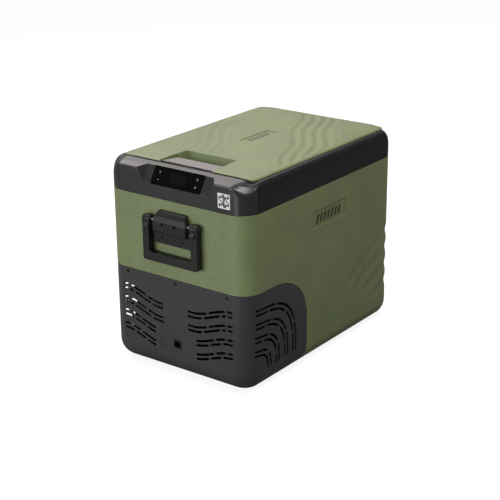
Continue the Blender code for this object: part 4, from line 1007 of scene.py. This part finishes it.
def make_hinges():
    """Two butt hinges: leaves face each other across the seam, knuckles alternate along one pin."""
    for name, side in (("left", -1), ("right", 1)):
        start = side * HINGE_X - HINGE_WIDTH / 2
        end, first, second = start + HINGE_WIDTH, start + 0.014, start + 0.036
        for part, body, low, high, spans in (
            ("body", "cabinet", 0.2541, 0.256, ((start, first), (second, end))),
            ("lid", "lid", 0.2504, 0.2523, ((first + GAP, second - GAP),)),
        ):
            leaf = new_object(f"hinge_{part}_plate_{name}", block((start, low, 0.4318), (end, high, 0.4448)))
            for a, b in spans:
                carve(leaf, block((a, low, 0.44), (b, high, HINGE_LINE[1])), "UNION")
                carve(leaf, rod_x(a, b, *HINGE_LINE, 0.0031), "UNION")
            carve(leaf, rod_x(start - 0.001, end + 0.001, *HINGE_LINE, 0.0018))
            finish(leaf, "steel", f"hinge_{part}_leaf_{name}", edge=0.0002, body=body)
        pin = new_object(f"hinge_axle_{name}", rod_x(start + 0.0005, end - 0.0005, *HINGE_LINE, 0.0014))
        finish(pin, "steel", f"hinge_pin_{name}", edge=0.0003)


# ---- Carry handles ----


def make_bracket(name, turn):
    """Screwed handle bracket with its rolled front, and its four screws."""
    wall = -HALF_LENGTH - GAP
    roll = [(wall, 0.32), (-0.2905, 0.32), (-0.2945, 0.324), (-0.2945, 0.345), (-0.2905, 0.356)]
    roll += [(-0.284, 0.364), (wall, 0.366)]
    bracket = prism([rounded(roll, 0.0022, 3)], "X", -0.0425, 0.0425)
    bracket = new_object(f"{name}_handle_mount", bracket)
    cheek = [(0.0425, y, z) for y, z in roll[:4]]
    cheek += [(0.0395, -0.2905, 0.356), (0.036, -0.284, 0.3645), (0.035, wall, 0.3665)]
    carve(bracket, hull([(side * x, y, z) for side in (-1, 1) for x, y, z in cheek]), "INTERSECT")
    carve(bracket, bed(-0.049, 0.295, 0.049, 0.3215, 0.003, "Y", -0.2845, wall), "UNION")
    carve(bracket, rod_x(-0.08, 0.08, *BAIL_LINE, 0.0031))
    holes, heads = [], []
    for x, z, face, width, deep in (
        (-0.018, 0.3395, -0.2945, 0.003, 0.004), (0.014, 0.3395, -0.2945, 0.003, 0.004),
        (-0.026, 0.308, -0.2845, 0.0028, 0.0014), (0.026, 0.308, -0.2845, 0.0028, 0.0014),
    ):
        profile = [(0, width + 0.0004), (0.0012, width), (deep + 0.001, width)]
        holes.append(turned((x, face - 0.001, z), (0, 1, 0), profile, 24))
        heads.append(screw_head((x, face + deep - 0.001, z), (0, 1, 0), width - 0.0004, 0.0009))
    carve(bracket, merged(*holes))
    soften(bracket, 0.0007)
    bracket.data.transform(turn)
    finish(bracket, "handle", f"{name}_handle_bracket")
    finish(new_object(f"{name}_handle_screws", moved(merged(*heads), turn)), "screw", edge=0)


def make_bail(name, turn):
    """Swinging U-shaped bail with a knuckle, a lug and a cap at each end."""
    half, arm, low, bar = 0.071, 0.0545, 0.256, 0.274
    middle, top = BAIL_LINE
    corners = [(-half, top), (-half, low), (half, low), (half, top)]
    corners += [(arm, top), (arm, bar), (-arm, bar), (-arm, top)]
    bail = prism([rounded(corners, 0.0055, 6)], "Y", middle - 0.00775, middle + 0.00775)
    bail = new_object(f"{name}_carry_bail", bail)
    lug = [(-0.286, 0.3378), (-0.2935, 0.3378), (-0.2983, 0.33), (-0.2935, 0.323), (-0.286, 0.323)]
    caps = []
    for side in (-1, 1):
        for start, end, radius in ((0.0515, 0.067, 0.0092), (0.06, half, 0.0081)):
            carve(bail, rod_x(side * start, side * end, *BAIL_LINE, radius, 40), "UNION")
        carve(bail, prism([lug], "X", *sorted((side * 0.053, side * 0.0655))), "UNION")
        profile = [(0, 0.0046), (0.0022, 0.0044), (0.0036, 0.0026)]
        caps.append(turned((side * (half - 0.0005), *BAIL_LINE), (side, 0, 0), profile))
    carve(bail, rod_x(-0.08, 0.08, *BAIL_LINE, 0.0031))
    soften(bail, 0.0007, angle=40)
    bail.data.transform(turn)
    finish(bail, "handle", f"{name}_bail", body=f"{name}_bail")
    caps = new_object(f"{name}_pivot_caps", moved(merged(*caps), turn))
    finish(caps, "handle", edge=0.0003, body=f"{name}_bail")


def make_handle(name, turn):
    """Bracket, pivot pin and bail, made for the front end and turned round for the rear one."""
    make_bracket(name, turn)
    pin = moved(rod_x(-0.0685, 0.0685, *BAIL_LINE, 0.0027), turn)
    finish(new_object(f"{name}_handle_axle", pin), "steel", f"{name}_handle_pin", edge=0.0004)
    make_bail(name, turn)


# ---- Inside of the cabinet ----

WELL_FLOOR, STEP_Y, STEP_Z, WELL_CORNER, LINER_TOP = 0.046, -0.022, 0.262, 0.022, 0.4185


def well_forms(offset, floor, top):
    """The food space grown by offset: the deep well, and the shallow one over the whole length."""
    half, front, back = WELL
    sides = (back + offset, WELL_CORNER + offset)
    deep = [ring(half + offset, STEP_Y - offset, *sides, z) for z in (floor, STEP_Z + 0.02)]
    shallow = [ring(half + offset, front - offset, *sides, z) for z in (STEP_Z - offset, top)]
    return loft(deep), loft(shallow)


def make_liner():
    deep, shallow = well_forms(0.002, WELL_FLOOR - 0.002, LINER_TOP + 0.001)
    liner = new_object("food_tub", deep)
    carve(liner, shallow, "UNION")
    carve(liner, loft([ring(0.16, -0.23, 0.245, 0.03, z) for z in (LINER_TOP, LINER_TOP + 0.002)]), "UNION")
    carve(liner, merged(*well_forms(0, WELL_FLOOR, 0.45)), crossing=True)
    finish(liner, "liner", "inner_liner", edge=0.0009, segments=3, angle=40)
    low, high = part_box("interior_light")
    lens = bed(low.y, low.z, high.y, high.z, 0.003, "X", low.x, high.x, 6)
    finish(new_object("light_lens", lens), "lamp", "interior_light", edge=0.0006, segments=3)


def make_basket():
    """Wires bent down one wall, over the floor and up the other, with hoops, a thick rim and two grips."""
    thin, thick = 0.0011, 0.0016
    low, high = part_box("wire_basket")
    low, high = low + Vector((thick,) * 3), high - Vector((thick,) * 3)
    wires = []
    for x in spread(low.x + 0.018, high.x - 0.018, 0.0193):
        path = [(x, low.y, high.z), (x, low.y, low.z), (x, high.y, low.z), (x, high.y, high.z)]
        wires.append(tube(path, thin, 0.008))
    left, right, floor = low.x + thin * 1.6, high.x - thin * 1.6, low.z + thin * 1.6
    for y in spread(low.y + 0.018, high.y - 0.018, 0.0196):
        path = [(left, y, high.z), (left, y, floor), (right, y, floor), (right, y, high.z)]
        wires.append(tube(path, thin, 0.008))
    for z in (*spread(low.z + 0.03, high.z - 0.045, 0.045), high.z):
        turns = [(0, low.y), (high.x, low.y), (high.x, high.y), (low.x, high.y), (low.x, low.y), (0, low.y)]
        wires.append(tube([(x, y, z) for x, y in turns], thick if z == high.z else thin, 0.012))
    near, far = (low.y + high.y) / 2 - 0.045, (low.y + high.y) / 2 + 0.045
    for x in (0.0035 - high.x, high.x - 0.0035):
        path = [(x, near, high.z), (x, near, high.z - 0.022), (x, far, high.z - 0.022), (x, far, high.z)]
        wires.append(tube(path, thick, 0.01))
    basket = new_object("basket_wires", merged(*wires))
    basket.data.shade_smooth()
    finish(basket, "coated_wire", "wire_basket")


# ---- Machine bay ----


def make_compressor():
    """Welded can on a plate, with a belt round its seam, a ribbed drive cover and four rubber mounts."""
    low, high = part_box("compressor_body")
    x, y = (low.x + high.x) / 2, (low.y + high.y) / 2
    rows = [(0.052, 0.034, 0.03, 0.003), (0.062, 0.044, 0.036, 0.008), (0.0672, 0.0492, 0.0415, 0.018)]
    rows += [(0.068, 0.05, 0.042, 0.06), (0.0695, 0.0515, 0.0435, 0.0615), (0.0695, 0.0515, 0.0435, 0.0655)]
    rows += [(0.068, 0.05, 0.042, 0.067), (0.0665, 0.0485, 0.041, 0.098), (0.061, 0.043, 0.037, 0.112)]
    rows += [(0.05, 0.033, 0.028, 0.121), (0.036, 0.021, 0.018, high.z - low.z)]
    keys = []
    for half_x, half_y, corner, up in rows:
        z = low.z + up
        keys.append((half_x, -half_y, half_y, corner, z, z, z, 0.0))
    rings = [[(px + x, py + y, pz) for px, py, pz in points] for points in eased_rings(keys, 0.004)]
    can = new_object("compressor_can", loft(rings))
    carve(can, bed(low.x, low.y, high.x, high.y, 0.01, "Z", low.z, low.z + 0.0045, 6), "UNION")
    finish(can, "enamel", "compressor_body", edge=0.0005, angle=45)
    low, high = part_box("compressor_electronics")
    cover = new_object("drive_cover", block(low, high))
    grooves = []
    for z in spread(low.z + 0.008, high.z - 0.012, 0.008):
        grooves.append(block((low.x - 0.001, low.y + 0.006, z), (low.x + 0.0012, high.y - 0.006, z + 0.003)))
    carve(cover, merged(*grooves))
    finish(cover, "dark_shell", "compressor_electronics", edge=0.002, segments=3)
    profile = [(0, 0.007), (0.0006, 0.008), (0.0024, 0.008), (0.0032, 0.0062), (0.0038, 0.0062)]
    profile += [(0.0047, 0.008), (0.006, 0.008), (0.0065, 0.007)]
    for number in range(1, 5):
        name = f"compressor_grommet_{number}"
        low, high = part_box(name)
        foot = ((low.x + high.x) / 2, (low.y + high.y) / 2, low.z)
        mount = turned(foot, (0, 0, 1), profile)
        finish(new_object(f"rubber_mount_{number}", mount), "rubber", name, edge=0)


def make_condenser():
    """Stacked fins with a bent tube through them."""
    low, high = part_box("condenser_fins")
    parts = []
    for y in spread(low.y, high.y - 0.0005, 0.0026):
        parts.append(block((low.x, y, low.z + 0.001), (high.x, y + 0.0005, high.z)))
    for y in (low.y, high.y - 0.0012):
        parts.append(block((low.x, y, low.z), (high.x, y + 0.0012, high.z)))
    fins = new_object("condenser_fin_stack", merged(*parts))
    fins.data.shade_flat()
    finish(fins, "aluminium", "condenser_fins")
    runs = []
    edges = (low.y + 0.003, high.y - 0.003)
    for x in spread(low.x + 0.008, high.x - 0.008, 0.014):
        path = []
        for index, z in enumerate(spread(low.z + 0.012, high.z - 0.012, 0.021)):
            path += [(x, edges[index % 2], z), (x, edges[1 - index % 2], z)]
        runs.append(tube(path, 0.0028))
    coil = new_object("condenser_coil", merged(*runs))
    coil.data.shade_smooth()
    finish(coil, "copper")


BLADES = 7


def make_fan_frame(low, high, centre):
    square = new_object("fan_frame", bed(low.y, low.z, high.y, high.z, 0.006, "X", low.x, high.x, 6))
    carve(square, rod_x(centre.x - 0.03, centre.x + 0.01, centre.y, centre.z, 0.0455, 64))
    holes = []
    for a, b in itertools.product((-0.0425, 0.0425), repeat=2):
        holes.append(rod_x(low.x - 0.01, high.x + 0.01, centre.y + a, centre.z + b, 0.0022))
    carve(square, merged(*holes))
    struts = []
    for index in range(3):
        strut = block((centre.x - 0.0035, -0.0025, 0.0), (centre.x - 0.0005, 0.0025, 0.047))
        strut = moved(strut, Matrix.Rotation(radians(120 * index + 30), 4, "X"))
        struts.append(moved(strut, Matrix.Translation((0, centre.y, centre.z))))
    hub = rod_x(centre.x - 0.004, centre.x, centre.y, centre.z, 0.016, 48)
    spindle = rod_x(centre.x - 0.016, centre.x - 0.001, centre.y, centre.z, 0.0018)
    carve(square, merged(*struts, hub, spindle), "UNION", crossing=True)
    finish(square, "chip", "fan_shroud", edge=0.0004)


def fan_blade():
    """One blade standing up along Z, twisted more steeply towards its root."""
    rings = []
    for radius in spread(0.015, 0.043, 0.004):
        pitch = radians(56 - 900 * (radius - 0.015))
        points = []
        for step in range(12):
            angle = 2 * pi * step / 12
            along = 0.0068 * cos(angle)
            thick = 0.0008 * sin(angle) + 0.0016 * sin(angle / 2) ** 2 - 0.0008
            across = thick * cos(pitch) - along * sin(pitch)
            points.append((across, along * cos(pitch) + thick * sin(pitch), radius))
        rings.append(points)
    return loft(rings)


def make_fan():
    low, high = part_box("fan_shroud")
    centre = Vector((high.x, (low.y + high.y) / 2, (low.z + high.z) / 2))
    make_fan_frame(low, high, centre)
    profile = [(0, 0.015), (0.001, 0.0166), (0.0022, 0.017), (0.0152, 0.017)]
    rotor = new_object("fan_wheel", turned(centre - Vector((0.02, 0, 0)), (1, 0, 0), profile, 56))
    place = Matrix.Translation((centre.x - 0.0124, centre.y, centre.z))
    blades = []
    for index in range(BLADES):
        blades.append(moved(fan_blade(), place @ Matrix.Rotation(2 * pi * index / BLADES, 4, "X")))
    carve(rotor, merged(*blades), "UNION")
    carve(rotor, rod_x(centre.x - 0.0165, centre.x, centre.y, centre.z, 0.0022))
    finish(rotor, "chip", "fan_rotor", edge=0.0002, body="fan")


def make_tubes():
    """Refrigerant tubes along the routes of their nodes, with collars where they are brazed."""
    drier = Vector((0.14, -0.11, 0.05))
    x, y, top, wall = drier.x, drier.y, drier.z + 0.1004, STEP_Y - 0.0042
    suction = [(-0.106, wall, 0.182), (-0.106, -0.15, 0.182), (-0.106, -0.15, 0.1434)]
    discharge = [(-0.05, -0.165, 0.1434), (-0.05, -0.165, 0.172)]
    discharge += [(0.09, -0.165, 0.172), (0.09, -0.165, 0.1604)]
    outlet = [(0.1044, y, 0.03), (x, y, 0.03), (x, y, drier.z - GAP)]
    capillary = [(x, y, top), (x, y, 0.186), (-0.094, y, 0.186), (-0.094, wall, 0.186)]
    for name, radius, bend, path in (
        ("suction", 0.004, 0.018, suction), ("discharge", 0.003, 0.009, discharge),
        ("condenser_outlet", 0.0025, 0.012, outlet), ("capillary", 0.0014, 0.012, capillary),
    ):
        collars = []
        for a, b in ((path[0], path[1]), (path[-1], path[-2])):
            a, b = Vector(a), Vector(b)
            collars.append(rod(a, a + (b - a).normalized() * 0.006, radius * 1.25))
        line = new_object(f"{name}_pipe", merged(tube(path, radius, bend, 3), *collars))
        line.data.shade_smooth()
        line.data.set_sharp_from_angle(angle=radians(50))
        finish(line, "copper", f"{name}_tube")
    profile = [(0, 0.003), (0.0035, 0.0034), (0.008, 0.007), (0.012, 0.0088), (0.016, 0.009), (0.03, 0.009)]
    profile += [(0.031, 0.0084), (0.033, 0.0084), (0.034, 0.009), (0.084, 0.009), (0.088, 0.0088)]
    profile += [(0.092, 0.007), (0.0965, 0.0034), (0.1, 0.003)]
    finish(new_object("drier_can", turned(drier, (0, 0, 1), profile, 40)), "copper", "filter_drier", edge=0)


def make_boards():
    low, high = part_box("control_board")
    under = high.z - 0.0016
    board = new_object("power_board", block((low.x, low.y, under), (high.x, high.y, high.z)))
    finish(board, "board", "control_board", edge=0.0002)
    sink = [block((x, -0.25, low.z), (x + 0.0014, -0.205, under)) for x in spread(-0.145, -0.1164, 0.0036)]
    sink.append(block((-0.145, -0.25, under - 0.004), (-0.115, -0.205, under)))
    finish(new_object("board_heat_sink", merged(*sink)), "aluminium", edge=0)
    chips = []
    for x, y, radius, drop in ((-0.098, -0.238, 0.005, 0.012), (-0.086, -0.238, 0.005, 0.012),
                               (-0.092, -0.228, 0.0035, 0.009)):
        profile = [(0, radius), (drop - 0.001, radius), (drop, radius * 0.85)]
        chips.append(turned((x, y, under), (0, 0, -1), profile))
    chips.append(block((-0.07, -0.215, 0.2), (-0.045, -0.19, under)))
    chips += [block((x, -0.198, 0.204), (x + 0.006, -0.19, under)) for x in spread(-0.14, -0.084, 0.014)]
    chips = new_object("board_components", merged(*chips))
    finish(chips, "chip", edge=0.0003, tidy=False, slot="board")


def make_socket():
    low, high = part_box("socket_plate")
    plate = new_object("inlet_plate", bed(low.x, low.z, high.x, high.z, 0.0016, "Y", low.y, high.y))
    low_x, high_x, low_z, high_z = SOCKET
    carve(plate, bed(low_x, low_z, high_x, high_z, 0.002, "Y", -0.29, -0.26))
    lines = [block((-0.041, -0.2764, z), (-0.018, -0.2761, z + 0.0009)) for z in (0.067, 0.071, 0.075)]
    carve(plate, merged(*lines), "UNION")
    finish(plate, "dark_shell", "socket_plate", edge=0.0002)
    low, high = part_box("power_socket")
    inlet = new_object("power_inlet", bed(low.x, low.z, high.x, high.z, 0.0018, "Y", low.y, high.y))
    rim = 0.003
    carve(inlet, bed(low.x + rim, low.z + rim, high.x - rim, high.z - rim, 0.0014, "Y", -0.29, -0.26))
    middle, z = (low.x + high.x) / 2, (low.z + high.z) / 2
    profile = [(0, 0.0012), (0.01, 0.0012), (0.011, 0.0007)]
    pins = [turned((middle + x, -0.259, z), (0, -1, 0), profile, 16) for x in (-0.005, 0.005)]
    carve(inlet, merged(*pins), "UNION")
    finish(inlet, "socket_black", "power_socket", edge=0.0002)


KEPT_NODES = {"foam_insulation": "foam", "lid_foam": "foam", "evaporator_plate": "aluminium",
              "bay_liner": "enamel", "bay_base_plate": "steel", "display_board": "board"}


def dress_kept_nodes():
    """Flat sheets and moulded foam keep their own solids and get a finished material."""
    for name, material in KEPT_NODES.items():
        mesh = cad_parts[name].data
        mesh.materials.clear()
        mesh.materials.append(MATERIALS[material])


# ---- Camera, floor and light ----

CAMERA_PLACE = Vector((1.592, -2.1425, 1.1953))
CAMERA_YAW, CAMERA_PITCH, CAMERA_ROLL, CAMERA_LENS = 36.919, 20.442, -0.569, 92.79
FLOOR_GREY, FLOOR_GLOW = 0.3, 0.88  # what the floor reflects, and what it adds for the camera alone
WORLD_DIM, WORLD_BRIGHT, WORLD_SEEN = 0.19, 0.33, 1.05


def make_camera():
    data = bpy.data.cameras.new("camera")
    data.lens = CAMERA_LENS
    data.sensor_width = 36.0
    data.clip_end = 50.0
    camera = linked("camera", data)
    turn = Matrix.Identity(4)
    for angle, axis in ((CAMERA_YAW, "Z"), (90 - CAMERA_PITCH, "X"), (CAMERA_ROLL, "Z")):
        turn = turn @ Matrix.Rotation(radians(angle), 4, axis)
    camera.matrix_world = Matrix.Translation(CAMERA_PLACE) @ turn
    bpy.context.scene.camera = camera


def make_floor():
    bm = bmesh.new()
    bmesh.ops.create_grid(bm, x_segments=1, y_segments=1, size=12.0)
    floor = new_object("studio_floor", bm)
    material, tree, shader = new_material("studio_floor")
    shader.inputs["Base Color"].default_value = (FLOOR_GREY, FLOOR_GREY, FLOOR_GREY, 1.0)
    shader.inputs["Roughness"].default_value = 0.9
    shader.inputs["Specular IOR Level"].default_value = 0.1
    seen = add_node(tree, "ShaderNodeLightPath").outputs["Is Camera Ray"]
    lift = add_node(tree, "ShaderNodeMath", {0: seen, 1: FLOOR_GLOW}, operation="MULTIPLY").outputs[0]
    glow = add_node(tree, "ShaderNodeEmission", {"Strength": lift})
    total = add_node(tree, "ShaderNodeAddShader", {0: shader.outputs[0], 1: glow.outputs[0]})
    tree.links.new(total.outputs[0], tree.nodes["Material Output"].inputs["Surface"])
    floor.data.materials.append(material)


def make_world():
    """Pale studio walls: white to the camera, and dimmer as a light, mostly from behind and from the left."""
    world = bpy.data.worlds.new("studio")
    world.use_nodes = True
    tree = world.node_tree
    toward = add_node(tree, "ShaderNodeTexCoord").outputs["Generated"]
    bright = Vector((-0.62, 0.55, 0.56))
    facing = add_node(tree, "ShaderNodeVectorMath", {0: toward, 1: bright}, operation="DOT_PRODUCT")
    level = remap(tree, facing.outputs["Value"], -0.35, 0.75, WORLD_DIM, WORLD_BRIGHT)
    seen = add_node(tree, "ShaderNodeLightPath").outputs["Is Camera Ray"]
    strength = add_node(tree, "ShaderNodeMix", {0: seen, 2: level, 3: WORLD_SEEN}).outputs[0]
    background = tree.nodes["Background"]
    background.inputs["Color"].default_value = (1.0, 1.0, 1.0, 1.0)
    tree.links.new(strength, background.inputs["Strength"])
    bpy.context.scene.world = world


def add_light(name, place, target, size, power, colour=(1.0, 1.0, 1.0)):
    data = bpy.data.lights.new(name, "AREA")
    data.shape = "RECTANGLE"
    data.size, data.size_y = size
    data.energy = power
    data.color = colour
    light = linked(name, data)
    light.location = place
    light.rotation_euler = (Vector(target) - Vector(place)).to_track_quat("-Z", "Y").to_euler()
    light.visible_camera = False


def make_lights():
    add_light("key_left", (-0.95, -2.85, 0.62), (0, -0.1, 0.25), (1.5, 0.9), 38, (0.97, 1.0, 1.0))
    add_light("corner_strip", (0.2, -1.05, 0.15), (0.16, -0.26, 0.4), (0.05, 0.24), 0.6)
    add_light("top_soft", (-1.3, 0.1, 2.2), (0, 0, 0.3), (1.8, 1.8), 29, (1.0, 0.93, 0.91))
    add_light("back_left", (-1.5, 1.3, 2.1), (0, 0, 0.3), (2.0, 2.0), 21, (1.0, 0.95, 0.92))
    add_light("fill_right", (0.95, -0.3, 1.9), (0.18, 0.1, 0.15), (0.45, 0.45), 16, (1.0, 0.99, 0.94))


def main():
    make_materials()
    make_shell()
    make_base_cover()
    make_cover_screws()
    make_feet()
    make_collar()
    make_fascia()
    make_display()
    make_lid_cover()
    make_lid_lining()
    make_latch()
    make_hinges()
    make_handle("front", Matrix.Identity(4))
    make_handle("rear", Matrix.Rotation(pi, 4, "Z"))
    make_liner()
    make_basket()
    make_compressor()
    make_condenser()
    make_fan()
    make_tubes()
    make_boards()
    make_socket()
    dress_kept_nodes()
    make_camera()
    make_floor()
    make_world()
    make_lights()
    bpy.context.scene.view_settings.view_transform = "Standard"


main()
